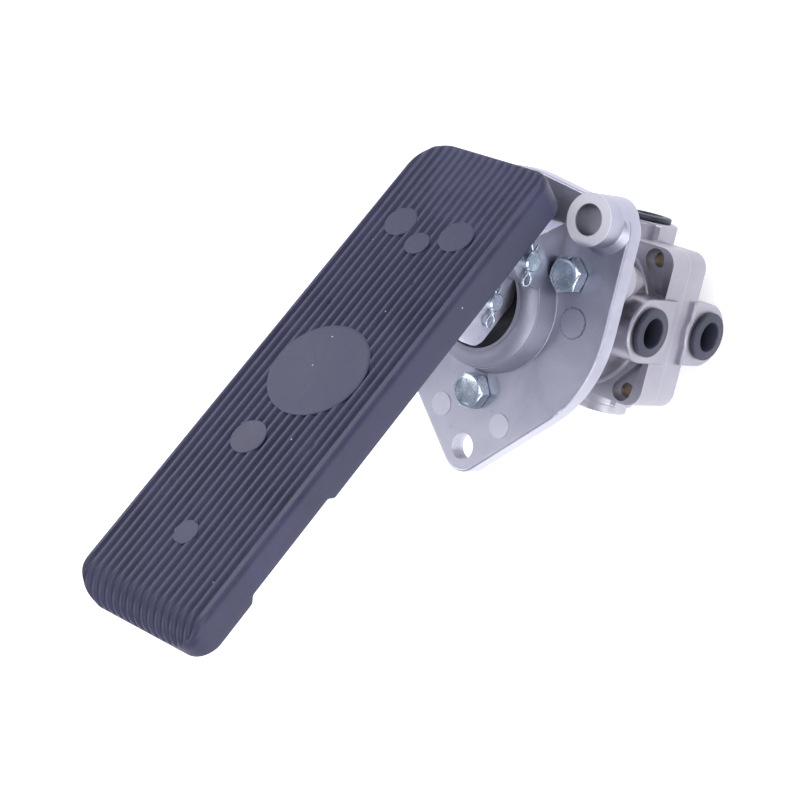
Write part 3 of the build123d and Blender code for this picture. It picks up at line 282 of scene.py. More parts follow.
# Shader graphs
class Graph:
    """A material's node tree, with short calls that add and join nodes."""

    def __init__(self, name):
        self.material = bpy.data.materials.new(name)
        self.material.use_nodes = True
        self.tree = self.material.node_tree
        self.shader = self.tree.nodes["Principled BSDF"]
        self.place = self.node("TexCoord").outputs["Object"]

    def node(self, kind, inputs=None, **settings):
        """Adds a node, sets its properties, and gives each input a value or joins a socket to it."""
        made = self.tree.nodes.new("ShaderNode" + kind)
        for key, value in settings.items():
            setattr(made, key, value)
        for key, value in (inputs or {}).items():
            self.feed(made.inputs[key], value)
        return made

    def feed(self, socket, value):
        if isinstance(value, bpy.types.NodeSocket):
            self.tree.links.new(value, socket)
        else:
            socket.default_value = value

    def math(self, operation, first, second=0.0):
        return self.node("Math", {0: first, 1: second}, operation=operation).outputs[0]

    def times(self, first, second):
        return self.math("MULTIPLY", first, second)

    def spread(self, value, low, high, to_low=0.0, to_high=1.0):
        """Maps a value from one range to another, and holds it inside."""
        made = self.node(
            "MapRange",
            {"Value": value, "From Min": low, "From Max": high, "To Min": to_low, "To Max": to_high},
        )
        return made.outputs["Result"]

    def noise(self, scale, detail, roughness, place=None, distortion=0.0):
        inputs = {
            "Vector": place or self.place,
            "Scale": scale,
            "Detail": detail,
            "Roughness": roughness,
            "Distortion": distortion,
        }
        return self.node("TexNoise", inputs).outputs["Fac"]

    def stretched(self, scale):
        """Gives the object's coordinates, stretched along one or two axes."""
        return self.node("Mapping", {"Vector": self.place, "Scale": scale}).outputs["Vector"]

    def mix(self, factor, first, second):
        return self.node("Mix", {"Factor": factor, 6: first, 7: second}, data_type="RGBA").outputs[2]

    def bump(self, height, distance, normal=None):
        inputs = {"Height": height, "Distance": distance}
        if normal:
            inputs["Normal"] = normal
        return self.node("Bump", inputs).outputs["Normal"]

    def recess_mask(self, distance, low=0.15, high=0.6, alone=True):
        """Is 1 deep in a recess and 0 on open faces, of the piece alone or with its neighbours."""
        open_share = self.node("AmbientOcclusion", {"Distance": distance}, samples=8, only_local=alone)
        return self.spread(open_share.outputs["AO"], high, low)

    def feature_mask(self, height):
        """Is 1 on the machined boss face and partly on the low ejector marks of the plate."""
        along = self.node("SeparateXYZ", {0: self.place}).outputs["Y"]
        boss = self.times(self.spread(height, *BOSS_FACE_RISE), self.spread(along, *BOSS_REACH))
        mark = self.times(self.spread(height, *MARK_RISE), self.spread(height, *MARK_TOP))
        mark = self.times(mark, self.spread(along, *MARK_REACH))
        return self.math("MAXIMUM", boss, self.times(mark, MARK_SHARE))

    def reach(self, across, along):
        """Measures in metres from the upright line at a place, and from its mirror image."""
        split = self.node("SeparateXYZ", {0: self.place})
        side = self.math("SUBTRACT", self.math("ABSOLUTE", split.outputs["X"]), across * MM)
        ahead = self.math("SUBTRACT", split.outputs["Y"], along * MM)
        squares = self.math("ADD", self.math("POWER", side, 2), self.math("POWER", ahead, 2))
        return self.math("SQRT", squares)

    def hub_mask(self, height):
        """Is 1 on the raised hub of the plate."""
        inside = self.spread(self.reach(0, 0), *HUB_EDGE)
        return self.times(inside, self.spread(height, *HUB_RISE))

    def shade_mask(self, height):
        """Is high in the heel bores and along the rough outline of the round side marks."""
        bore = self.times(self.spread(self.reach(*HEEL_BORE), *BORE_EDGE), self.spread(height, *BORE_RISE))
        wander = self.times(self.math("SUBTRACT", self.noise(900, 2, 0.6), 0.5), OUTLINE_WANDER)
        off_line = self.math("SUBTRACT", self.reach(*SIDE_MARK[:2]), SIDE_MARK[2] * MM)
        off_line = self.math("ABSOLUTE", self.math("ADD", off_line, wander))
        line = self.times(self.spread(off_line, *OUTLINE_WIDTH), self.spread(height, *OUTLINE_RISE))
        return self.math("MAXIMUM", self.times(bore, BORE_SHARE), self.times(line, OUTLINE_SHARE))

    def edge_mask(self, radius, low=0.02, high=0.25):
        """Is 1 along sharp outside edges and 0 on flat faces."""
        rounded = self.node("Bevel", {"Radius": radius}, samples=6).outputs["Normal"]
        flat = self.node("NewGeometry").outputs["Normal"]
        dot = self.node("VectorMath", {0: rounded, 1: flat}, operation="DOT_PRODUCT")
        return self.spread(self.math("SUBTRACT", 1.0, dot.outputs["Value"]), low, high)


def rgba(red, green, blue):
    return (red, green, blue, 1.0)


def scaled(colour, factor, lift=0.0):
    """Gives a colour made darker or lighter, held under full white."""
    return rgba(*(min(1.0, part * factor + lift) for part in colour[:3]))


def casting_colour(graph, colour, clouds, height, light, below):
    """Colours the places where the casting's colour changes: machined faces and marks, painted shade under
    the plate, on the hub and in the heel bores, and a painted reflection towards the toe. Gives the colour
    and two of the masks.
    """
    # Painted shade: below the plate the casting is darker and warmer, where the plate shades the valve
    # body.
    body = graph.mix(clouds, below, light)
    colour = graph.mix(graph.spread(height, *UNDER_PLATE_SHADE), colour, body)
    cast = graph.feature_mask(height)
    colour = graph.mix(cast, colour, MACHINED_COLOUR)
    # Painted reflection: the plate is lighter towards the toe, where a lamp is seen in it.
    along = graph.node("SeparateXYZ", {0: graph.place}).outputs["Y"]
    colour = graph.mix(graph.times(graph.spread(along, *TOE_REACH), TOE_REFLECTION_SHARE), colour, TOE_PAINTED_REFLECTION)
    # Painted shade: the hub is darker, which dims the lamps' reflection in it.
    hub = graph.hub_mask(height)
    colour = graph.mix(graph.times(hub, HUB_SHADE_SHARE), colour, HUB_PAINTED_SHADE)
    return graph.mix(graph.shade_mask(height), colour, SHADE_COLOUR), cast, hub


def metal(
    name, light, dark, roughness, cloud=45, grain=1500, grain_depth=0.00003, edge=0.5, streak=None,
    recess_shade=0.75, below=None
):
    """Makes a metal with clouded colour, fine grain, brighter edges from wear with a painted highlight,
    painted shade in recesses and uneven polish.

    With a colour for below the plate, it is the casting, whose colour changes from place to place, with
    painted shade and a painted reflection among the changes.
    """
    graph = Graph(name)
    clouds = graph.noise(cloud, 6, 0.6, distortion=0.4)
    patches = graph.noise(cloud * PATCH_SCALE, 3, 0.5)
    fine = graph.noise(grain, 3, 0.6, place=graph.stretched(streak) if streak else None)
    tone = graph.math("ADD", graph.times(clouds, CLOUD_SHARE), graph.times(patches, PATCH_SHARE))
    colour = graph.mix(graph.spread(tone, *METAL_TONE), dark, light)
    if below:
        height = graph.node("SeparateXYZ", {0: graph.place}).outputs["Z"]
        colour, cast, hub = casting_colour(graph, colour, clouds, height, light, below)
    speck = graph.spread(graph.noise(grain * SPECK_SCALE, 2, 0.5), *SPECK_RANGE)
    colour = graph.mix(graph.times(speck, SPECK_SHARE), colour, SPECK_COLOUR)
    # The edges are lighter from wear, and this also paints a highlight along them.
    wear_and_highlight = graph.times(graph.edge_mask(METAL_EDGE), edge)
    colour = graph.mix(wear_and_highlight, colour, scaled(light, *EDGE_WEAR_AND_HIGHLIGHT))
    # Painted shade: the colour darkens in recesses, which are found by ambient occlusion.
    shade_in_recesses = graph.times(graph.recess_mask(METAL_RECESS), recess_shade)
    if below:
        shade_in_recesses = graph.times(shade_in_recesses, graph.spread(height, *RECESS_SHADE_BELOW))
    colour = graph.mix(shade_in_recesses, colour, scaled(dark, METAL_RECESS_SHADE_DARK))
    graph.feed(graph.shader.inputs["Base Color"], colour)
    bare = graph.spread(shade_in_recesses, *RECESS_SHADE_METALLIC)
    if below:
        bare = graph.times(bare, graph.spread(cast, *MACHINED_METALLIC))
    graph.feed(graph.shader.inputs["Metallic"], bare)
    uneven = graph.math("ADD", clouds, graph.times(fine, METAL_FINE_SHARE))
    polish = graph.spread(uneven, *METAL_POLISH, *roughness)
    if below:
        polish = graph.math("ADD", polish, graph.times(hub, HUB_ROUGHER))
    graph.feed(graph.shader.inputs["Roughness"], polish)
    soft = graph.bump(clouds, METAL_SOFT_BUMP)
    graph.feed(graph.shader.inputs["Normal"], graph.bump(fine, grain_depth, normal=soft))
    return graph.material


def polymer(
    name, light, dark, roughness, grain=2200, grain_depth=0.00002, dust=0.0, edge=0.3, scuff=0.3, recess_shade=0.8,
    alone=True
):
    """Makes rubber or plastic with cloudy bloom, fine grain, dust specks and paler edges."""
    graph = Graph(name)
    clouds = graph.noise(BLOOM_SCALE, 6, 0.62, distortion=0.6)
    fine = graph.noise(grain, 3, 0.6)
    colour = graph.mix(graph.spread(clouds, *POLYMER_TONE), dark, light)
    pale = scaled(light, *PALE_LIGHT)
    colour = graph.mix(graph.times(graph.edge_mask(POLYMER_EDGE), edge), colour, pale)
    if scuff:
        drawn_out = graph.stretched(SCUFF_STRETCH)
        lines = graph.spread(graph.noise(SCUFF_SCALE, 2, 0.5, place=drawn_out), *SCUFF_RANGE)
        colour = graph.mix(graph.times(lines, scuff), colour, pale)
    if dust:
        spots = graph.node("TexVoronoi", {"Vector": graph.place, "Scale": DUST_SCALE, "Randomness": 1.0})
        near = graph.spread(spots.outputs["Distance"], *DUST_SPOT)
        some = graph.spread(graph.noise(DUST_PATCH_SCALE, 1, 0.5), *DUST_RANGE)
        colour = graph.mix(graph.times(graph.times(near, some), dust), colour, DUST_COLOUR)
    # Painted shade: the colour darkens in recesses, found by ambient occlusion, of the piece alone or with
    # its neighbours.
    shade_in_recesses = graph.times(graph.recess_mask(*POLYMER_RECESS, alone), recess_shade)
    colour = graph.mix(shade_in_recesses, colour, scaled(dark, POLYMER_RECESS_SHADE_DARK))
    graph.feed(graph.shader.inputs["Base Color"], colour)
    uneven = graph.math("ADD", clouds, graph.times(fine, POLYMER_FINE_SHARE))
    graph.feed(graph.shader.inputs["Roughness"], graph.spread(uneven, *POLYMER_POLISH, *roughness))
    soft = graph.bump(clouds, POLYMER_SOFT_BUMP)
    graph.feed(graph.shader.inputs["Normal"], graph.bump(fine, grain_depth, normal=soft))
    return graph.material


MATERIALS = {
    # The colour for below the plate is painted shade.
    "cast_aluminium": metal(
        "cast_aluminium", rgba(0.55, 0.55, 0.62), rgba(0.37, 0.37, 0.45), (0.32, 0.50), cloud=42,
        grain=1300, below=rgba(0.29, 0.27, 0.29)
    ),
    "treadle_aluminium": metal(
        "treadle_aluminium", rgba(0.74, 0.74, 0.80), rgba(0.60, 0.60, 0.68), (0.25, 0.45), cloud=55
    ),
    "zinc_steel": metal(
        "zinc_steel", rgba(0.70, 0.78, 0.83), rgba(0.42, 0.50, 0.56), (0.14, 0.34), cloud=160,
        grain_depth=0.00002, edge=0.8
    ),
    "yellow_zinc": metal(
        "yellow_zinc", rgba(0.42, 0.33, 0.20), rgba(0.24, 0.18, 0.14), (0.25, 0.45), cloud=150
    ),
    "roller_steel": metal(
        "roller_steel", rgba(0.62, 0.63, 0.66), rgba(0.45, 0.46, 0.49), (0.18, 0.32),
        streak=(12.0, 1.0, 1.0)
    ),
    "spring_steel": metal(
        "spring_steel", rgba(0.50, 0.50, 0.53), rgba(0.30, 0.30, 0.33), (0.25, 0.4), cloud=200
    ),
    "piston_aluminium": metal(
        "piston_aluminium", rgba(0.74, 0.75, 0.78), rgba(0.62, 0.63, 0.66), (0.2, 0.36),
        streak=(1.0, 1.0, 10.0)
    ),
    "pad_rubber": polymer(
        "pad_rubber", rgba(0.052, 0.053, 0.112), rgba(0.032, 0.033, 0.076), (0.38, 0.55), dust=0.9,
        edge=0.22, scuff=0.25, recess_shade=0.55
    ),
    "black_rubber": polymer(
        "black_rubber", rgba(0.035, 0.036, 0.045), rgba(0.018, 0.018, 0.022), (0.5, 0.7), scuff=0.1
    ),
    "seal_rubber": polymer(
        "seal_rubber", rgba(0.026, 0.026, 0.030), rgba(0.016, 0.016, 0.018), (0.35, 0.5), scuff=0.0
    ),
    "plug_plastic": polymer(
        "plug_plastic", rgba(0.058, 0.062, 0.096), rgba(0.038, 0.041, 0.068), (0.34, 0.5), edge=0.4,
        scuff=0.12, recess_shade=1.0, alone=False
    ),
    "cover_plastic": polymer(
        "cover_plastic", rgba(0.040, 0.041, 0.048), rgba(0.022, 0.022, 0.027), (0.4, 0.6), grain=900
    ),
    "acetal": polymer(
        "acetal", rgba(0.80, 0.78, 0.72), rgba(0.70, 0.68, 0.62), (0.3, 0.45), edge=0.0, scuff=0.06
    ),
}
SLOTS = {row["node"]: row["material_slot"] for row in frame["record"]["subparts"]}
for name, slot_name in SLOTS.items():
    for slot in frame["nodes"][name].material_slots:
        slot.material = MATERIALS[slot_name]


# Meshes
def make_piece(name, points, faces, slot, body, sharp=35):
    """Makes a closed mesh piece from points in millimetres, smooth but for its sharp edges."""
    mesh = bpy.data.meshes.new(name)
    mesh.from_pydata([tuple(Vector(point) * MM) for point in points], [], faces)
    mesh.validate()
    mesh.shade_smooth()
    mesh.set_sharp_from_angle(angle=math.radians(sharp))
    piece = bpy.data.objects.new(name, mesh)
    bpy.context.scene.collection.objects.link(piece)
    mesh.materials.append(MATERIALS[slot])
    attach(piece, body)
    return piece


def loop_faces(first, second, count):
    """Joins two closed loops of points with quads."""
    return [
        (first + k, first + (k + 1) % count, second + (k + 1) % count, second + k) for k in range(count)
    ]


def stack(loops):
    """Joins loops of equal length into one closed skin, with a flat face at each end."""
    count = len(loops[0])
    points = [point for loop in loops for point in loop]
    faces = []
    for level in range(len(loops) - 1):
        faces += loop_faces(level * count, (level + 1) * count, count)
    faces.append(tuple(range(count - 1, -1, -1)))
    faces.append(tuple(range((len(loops) - 1) * count, len(loops) * count)))
    return points, faces


def axes_for(direction):
    """Gives two unit vectors across a direction, in right-handed order."""
    forward = Vector(direction).normalized()
    across = forward.orthogonal().normalized()
    return across, forward.cross(across), forward


def lathe(profile, origin, direction, segments=96):
    """Turns a half section about an axis. The section starts and ends on the axis."""
    across, up, forward = axes_for(direction)
    loops = []
    for radius, height in profile:
        centre = Vector(origin) + forward * height
        loops.append(
            [
                centre + (across * math.cos(turn) + up * math.sin(turn)) * max(radius, 0.01)
                for turn in (2 * math.pi * k / segments for k in range(segments))
            ]
        )
    return stack(loops)


def smooth_step(value, low, high):
    """Rises smoothly from 0 at the low value to 1 at the high one."""
    part = min(1.0, max(0.0, (value - low) / (high - low)))
    return part * part * (3 - 2 * part)


# The treadle pad
def on_tread(across, along, out):
    """Gives the place of a point that is stated in the pad's own axes."""
    return HEEL_END + Vector((across, 0, 0)) + ALONG * along + OUTWARD * out


def on_roll(across, surface, out):
    """Gives a place on the tread by the distance along its surface, which rolls over at the toe."""
    turn = roll_turn(surface)
    strip = max(0.0, surface - ROLL_START - PAD_TOE_ROLL * math.pi / 2)
    along = min(surface, ROLL_START) + (PAD_TOE_ROLL + out) * math.sin(turn)
    return on_tread(across, along, (PAD_TOE_ROLL + out) * math.cos(turn) - PAD_TOE_ROLL - strip)


def roll_turn(surface):
    return min(math.pi / 2, max(0.0, (surface - ROLL_START) / PAD_TOE_ROLL))


def along_at(surface):
    return min(surface, ROLL_START) + PAD_TOE_ROLL * math.sin(roll_turn(surface))


def corner_radius(across, along):
    """Gives the radius of the pad's nearest corner in plan: the heel's right one is rounder."""
    return PAD_ROUND_CORNER if across > 0 and along < PAD_LENGTH / 2 else PAD_CORNER


def end_inset(across, along):
    """Gives how far the pad's rounded end is from its straight end, at a place across it."""
    radius = corner_radius(across, along)
    past = abs(across) - (PAD_WIDTH / 2 - radius)
    if past <= 0:
        return 0.0
    return radius - math.sqrt(max(0.0, radius**2 - past**2))


def past_corner(across, along):
    """Gives how far a place lies past the nearest corner's centre, sideways and endways."""
    radius = corner_radius(across, along)
    return abs(across) - (PAD_WIDTH / 2 - radius), abs(along - PAD_LENGTH / 2) - (PAD_LENGTH / 2 - radius)


def edge_drop(across, along, turn):
    """Gives the depth of the tread's rounded edge, which dies out where the toe rolls over."""
    side, end = past_corner(across, along)
    toeward = 1.0 if end > side else 0.0
    reach = max(side, end)
    if side > 0 and end > 0:
        reach = math.hypot(side, end)
        toeward = end / reach
    inside = max(0.0, corner_radius(across, along) - reach)
    if inside >= PAD_EDGE:
        return 0.0
    drop = PAD_EDGE - math.sqrt(PAD_EDGE**2 - (PAD_EDGE - inside) ** 2)
    return drop * (1 - toeward * math.sin(turn))


def toe_margin(across, surface, length):
    """Gives the distance to where the grooves stop at the toe, on a wide curve at the left corner."""
    past = -across - (PAD_WIDTH / 2 - TREAD_TOE_CORNER)
    end = surface - (surface_end(0.0) - TREAD_TOE_CORNER)
    if past > 0 and end > 0:
        return min(length - surface, TREAD_TOE_CORNER - math.hypot(past, end))
    return length - surface


def tread_height(across, surface, length):
    """Gives the height of the ribbed tread at a distance along a surface of some length."""
    along = along_at(surface)
    height = -edge_drop(across, along, roll_turn(surface))
    bend = Vector((across * WANDER_SCALE[0], surface * WANDER_SCALE[1], 0.0))
    wander = WANDER * noise.noise(bend)
    valley = round((across + wander - VALLEY_FIRST) / VALLEY_PITCH)
    valley = min(VALLEY_COUNT - 1, max(0, valley))
    away = abs(across + wander - VALLEY_FIRST - valley * VALLEY_PITCH) / (VALLEY_PITCH / 2)
    if away < 1:
        fade = HEEL_SHARE + (1 - HEEL_SHARE) * smooth_step(surface, *HEEL_FADE)
        fade *= smooth_step(surface - end_inset(across, 0.0), *HEEL_EDGE)
        fade *= smooth_step(toe_margin(across, surface, length), 0.0, TOE_FADE)
        swing = Vector((across * DEPTH_SCALE[0], surface * DEPTH_SCALE[1], DEPTH_SEED))
        depth = VALLEY_DEPTH * (1 + DEPTH_SWING * noise.noise(swing))
        height -= depth * fade * (1 - smooth_step(away, *VALLEY_SIDE)) + RIB_CROWN * fade * (1 - away)
    for pit_across, pit_along, radius in PITS:
        reach = math.hypot(across - pit_across, surface - pit_along) / radius
        if reach < PIT_REACH:
            height -= PIT_DEPTH * math.exp(-reach * reach)
    return height


def pad_columns():
    """Gives the places across the pad where its grid has a column."""
    half = PAD_WIDTH / 2
    step = VALLEY_PITCH / VALLEY_STEPS
    inner = half - EDGE_STEPS[-1] - step / 2
    places = [-half + reach for reach in EDGE_STEPS]
    first = math.ceil((-inner - VALLEY_FIRST) / step)
    last = math.floor((inner - VALLEY_FIRST) / step)
    places += [VALLEY_FIRST + k * step for k in range(first, last + 1)]
    places += [half - reach for reach in reversed(EDGE_STEPS)]
    return places


def surface_end(across):
    """Gives where a column of the tread ends, measured along its surface."""
    reach = PAD_TOE_ROLL - end_inset(across, PAD_LENGTH)
    turn = math.asin(min(1.0, reach / PAD_TOE_ROLL))
    return ROLL_START + PAD_TOE_ROLL * turn + TOE_STRIP * (turn / (math.pi / 2)) ** 8


def pad_rows(across):
    """Gives the places along the surface where one column of the pad's grid has a point."""
    start = end_inset(across, 0.0)
    length = surface_end(across) - start
    inner = length - 2 * EDGE_STEPS[-1]
    places = list(EDGE_STEPS[:-1])
    places += [EDGE_STEPS[-1] + inner * k / ROW_COUNT for k in range(ROW_COUNT + 1)]
    places += [length - reach for reach in reversed(EDGE_STEPS[:-1])]
    return [start + place for place in places]


def notch_share(along):
    """Is 1 in the notch of the skirt's lower edge and 0 outside it."""
    rise = smooth_step(along, NOTCH[0], NOTCH[0] + NOTCH_SLOPE)
    return rise * (1 - smooth_step(along, NOTCH[1] - NOTCH_SLOPE, NOTCH[1]))


def squeeze(value, outer, inner):
    """Maps one range to another by moving only the places near its two ends."""
    if value < outer[0] + INSET_REACH:
        return inner[0] + (value - outer[0]) * (outer[0] + INSET_REACH - inner[0]) / INSET_REACH
    if value > outer[1] - INSET_REACH:
        return inner[1] - (outer[1] - value) * (inner[1] - outer[1] + INSET_REACH) / INSET_REACH
    return value


def inner_corner(radius, inset):
    """Gives the radius of a corner that is set in: a narrower one near the outline, else the inner one."""
    return radius - inset if inset < 1 else PAD_INNER_CORNER


def inset_place(across, along, inset):
    """Moves a place on the pad's outline inward to the outline that is set in by some distance."""
    toe_inset = inset + (PAD_TOE_WALL - PAD_WALL) * smooth_step(inset, 1.0, PAD_WALL)
    inner_radius = inner_corner(corner_radius(across, along), inset)
    half = PAD_WIDTH / 2
    side, end = past_corner(across, along)
    toe = along > PAD_LENGTH / 2
    inner_end = PAD_LENGTH - toe_inset if toe else inset
    outward = 1 if toe else -1
    if side > 0 and end > 0:
        turn = math.atan2(end, side)
        centre = Vector((half - inset - inner_radius, inner_end - outward * inner_radius))
        sideways = centre.x + inner_radius * math.cos(turn)
        return math.copysign(sideways, across), centre.y + outward * inner_radius * math.sin(turn)
    left_radius = inner_corner(PAD_CORNER, inset)
    if side >= end:
        outer = (corner_radius(across, 0), PAD_LENGTH - PAD_CORNER)
        inner = (inset + inner_corner(outer[0], inset), PAD_LENGTH - toe_inset - left_radius)
        return math.copysign(half - inset, across), squeeze(along, outer, inner)
    right_radius = corner_radius(1, along)
    outer = (PAD_CORNER - half, half - right_radius)
    inner = (inset - half + left_radius, half - inset - inner_corner(right_radius, inset))
    return squeeze(across, outer, inner), inner_end


def skirt_section(top, along):
    """Gives insets and heights down the skirt, round its foot and lip, and up to the ceiling."""
    notch = notch_share(along)
    bottom = -PAD_SKIRT + NOTCH_DEPTH * notch
    reach = PAD_WALL + PAD_LIP * (1 - 0.97 * notch)
    wall = [(0.0, top + (bottom + FOOT_HEIGHT - top) * share) for share in WALL_SHARES]
    foot = [(inset, bottom + rise) for inset, rise in FOOT_ROUND]
    lip_top = PAD_LIP_THICKNESS - PAD_SKIRT
    lip = [
        (reach - LIP_ROUND[0], bottom),
        (reach, bottom + LIP_ROUND[1]),
        (reach, max(bottom + LIP_LEAST[0], lip_top)),
        (PAD_WALL, max(bottom + LIP_LEAST[1], lip_top + LIP_SLOPE)),
        (PAD_WALL, PAD_CEILING),
    ]
    return wall + foot + lip


def pad_piece():
    """Makes the ribbed tread, its skirt, the notch and the lip under the casting."""
    columns = pad_columns()
    grid = [[(across, surface) for surface in pad_rows(across)] for across in columns]
    rows = len(grid[0])
    points = [on_roll(a, u, tread_height(a, u, column[-1][1])) for column in grid for a, u in column]
    faces = []
    for c in range(len(columns) - 1):
        for r in range(rows - 1):
            corner = c * rows + r
            faces.append((corner, corner + rows, corner + rows + 1, corner + 1))
    rim = [c * rows for c in range(len(columns))]
    rim += [(len(columns) - 1) * rows + r for r in range(1, rows)]
    rim += [c * rows + rows - 1 for c in range(len(columns) - 2, -1, -1)]
    rim += [r for r in range(rows - 2, 0, -1)]
    flat = [grid[index // rows][index % rows] for index in rim]
    flat = [(across, along_at(surface)) for across, surface in flat]
    tops = [(points[index] - HEEL_END).dot(OUTWARD) for index in rim]
    sections = [skirt_section(top, along) for top, (across, along) in zip(tops, flat)]
    count = len(rim)
    start = len(points)
    before = rim
    for level in range(len(sections[0])):
        for (across, along), section in zip(flat, sections):
            inset, out = section[level]
            points.append(on_tread(*inset_place(across, along, inset), out))
        after = list(range(start, start + count))
        faces += [
            (before[k], after[k], after[(k + 1) % count], before[(k + 1) % count]) for k in range(count)
        ]
        before = after
        start += count
    faces.append(tuple(before))
    piece = make_piece("treadle_pad_tread", points, faces, "pad_rubber", "treadle", sharp=42)
    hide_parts("treadle_pad")


def disc_section(radius, height):
    """Gives a disc's section as shares of its radius and heights over the tread."""
    section = [(1.0, -DISC_DEPTH), (1.0, height - DISC_ROUND), (1.0, height - DISC_ROUND * 0.6)]
    section.append((1 - 0.3 * DISC_ROUND / radius, height - DISC_ROUND * 0.2))
    section.append((1 - DISC_ROUND / radius, height))
    section += [(share, height + DISC_DOME * (1 - share)) for share in DISC_SHARES]
    return section


def disc_loop(number, disc, share, out):
    """Gives one ragged ring of a disc, which swells a little inside its edge."""
    across, along, radius, height, ragged = disc
    loop = []
    for k in range(DISC_STEPS):
        turn = 2 * math.pi * k / DISC_STEPS
        wave = noise.noise(Vector((3 * math.cos(turn), 3 * math.sin(turn), number * 5.0)))
        reach = radius * share * (1 + ragged * wave * min(1.0, share * 1.4))
        spot = Vector((reach * math.cos(turn) * 0.5, reach * math.sin(turn) * 0.5, 9.0))
        swell = DISC_SWELL * noise.noise(spot) if share < 0.99 else 0.0
        loop.append(on_tread(across + reach * math.cos(turn), along + reach * math.sin(turn), out + swell))
    return loop


def disc_piece():
    """Makes the flat discs that are moulded into the tread."""
    points = []
    faces = []
    for number, disc in enumerate(DISCS):
        section = disc_section(disc[2], disc[3])
        more, skin = stack([disc_loop(number, disc, share, out) for share, out in section])
        faces += [tuple(index + len(points) for index in face) for face in skin]
        points += more
    make_piece("treadle_pad_discs", points, faces, "pad_rubber", "treadle", sharp=50)


pad_piece()
disc_piece()


# Fasteners, plugs and soft parts
def cap_screw(centre, turn):
    """Gives the loops of one hexagon cap screw: shank, washer face, chamfered head and dished top."""
    half = CAP_FLATS / 2
    chamfer_circle = half * CHAMFER_SHARE
    dish = CAP_HEIGHT - DISH_DEPTH
    angles = [2 * math.pi * k / CAP_STEPS for k in range(CAP_STEPS)]

    def hexagon(angle):
        return half / math.cos((angle % (math.pi / 3)) - math.pi / 6)

    def shoulder(angle):
        return CAP_HEIGHT - (hexagon(angle) - chamfer_circle) * math.tan(CHAMFER_SLOPE)

    def under(angle):
        return WASHER_FACE + (hexagon(angle) - half) * math.tan(UNDER_SLOPE)

    def ring(radius, height):
        """Gives one loop, round the screw's own axis, of a steady radius and height."""
        return [(radius, height) for angle in angles]

    def side_ring(inset, level, rise):
        """Gives one loop along the hexagon, which follows a level that changes with the angle."""
        return [(hexagon(angle) - inset, level(angle) + rise) for angle in angles]

    rings = [
        ring(0.01, -CAP_LENGTH),
        ring(CAP_RADIUS - CAP_TIP, -CAP_LENGTH),
        ring(CAP_RADIUS, CAP_TIP - CAP_LENGTH),
        ring(CAP_RADIUS, 0.0),
        ring(half * 0.93, 0.0),
        ring(half * 0.95, 0.3),
        ring(half * 0.985, WASHER_FACE),
        side_ring(0.0, under, 0.0),
        side_ring(0.0, under, 0.25),
        side_ring(0.0, shoulder, -0.12),
        side_ring(0.1, shoulder, 0.03),
        ring(chamfer_circle, CAP_HEIGHT),
        ring(chamfer_circle - 0.35, CAP_HEIGHT),
        ring(chamfer_circle - 1.0, CAP_HEIGHT - 0.32),
        ring(chamfer_circle - 1.4, CAP_HEIGHT - 0.38),
        ring(2.2, dish),
        ring(0.01, dish),
    ]
    loops = []
    for pairs in rings:
        loop = []
        for angle, (radius, height) in zip(angles, pairs):
            offset = (radius * math.cos(angle + turn), radius * math.sin(angle + turn), height)
            loop.append(centre + Vector(offset))
        loops.append(loop)
    return stack(loops)


def cap_screws():
    """Makes the three cap screws on their circle."""
    for number, (place, turn) in enumerate(CAP_TURNS):
        angle = math.radians(place)
        centre = Vector((CAP_CIRCLE * math.cos(angle), CAP_CIRCLE * math.sin(angle), PLATE_TOP))
        points, faces = cap_screw(centre, math.radians(turn))
        piece = make_piece(f"cap_screw_{number + 1}", points, faces, "zinc_steel", "valve", sharp=28)
        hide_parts("mounting_cap_screws")


def hub_lines():
    """Makes the fine beads round the hub's foot and shoulder."""
    sides = HUB_LINE_SIDES
    for number, (radius, height, wire) in enumerate(HUB_LINES):
        points = []
        faces = []
        for k in range(HUB_LINE_STEPS):
            turn = 2 * math.pi * k / HUB_LINE_STEPS
            outward = Vector((math.cos(turn), math.sin(turn), 0))
            uneven = wire * (1 + 0.3 * noise.noise(outward * 4 + Vector((0, 0, number * 3.0))))
            for side in range(sides):
                lean = 2 * math.pi * side / sides
                offset = outward * math.cos(lean) + Vector((0, 0, math.sin(lean)))
                points.append(outward * radius + Vector((0, 0, height)) + offset * uneven)
            after = (k + 1) % HUB_LINE_STEPS
            for side in range(sides):
                beyond = (side + 1) % sides
                faces.append(
                    (k * sides + side, after * sides + side, after * sides + beyond, k * sides + beyond)
                )
        make_piece(f"hub_line_{number + 1}", points, faces, "cast_aluminium", "valve", sharp=60)


def plugs():
    """Makes the four shipping plugs in the ports that they close."""
    for node, (direction, height) in PORTS.items():
        origin = Vector(direction) * PORT_FACE + Vector((0, 0, height))
        points, faces = lathe(PLUG_PROFILE, origin, direction)
        piece = make_piece(f"{node}_cap", points, faces, "plug_plastic", "valve", sharp=40)
        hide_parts(node)


def sweep(path, radius, segments=16):
    """Runs a round wire along a path of points."""
    loops = []
    across = None
    for k, point in enumerate(path):
        ahead = path[min(k + 1, len(path) - 1)] - path[max(k - 1, 0)]
        ahead.normalize()
        if across is None:
            across = ahead.orthogonal().normalized()
        else:
            across = (across - ahead * across.dot(ahead)).normalized()
        up = ahead.cross(across)
        end = 0.7 if k in (0, len(path) - 1) else 1.0
        loops.append(
            [
                point + (across * math.cos(turn) + up * math.sin(turn)) * radius * end
                for turn in (2 * math.pi * s / segments for s in range(segments))
            ]
        )
    return stack(loops)


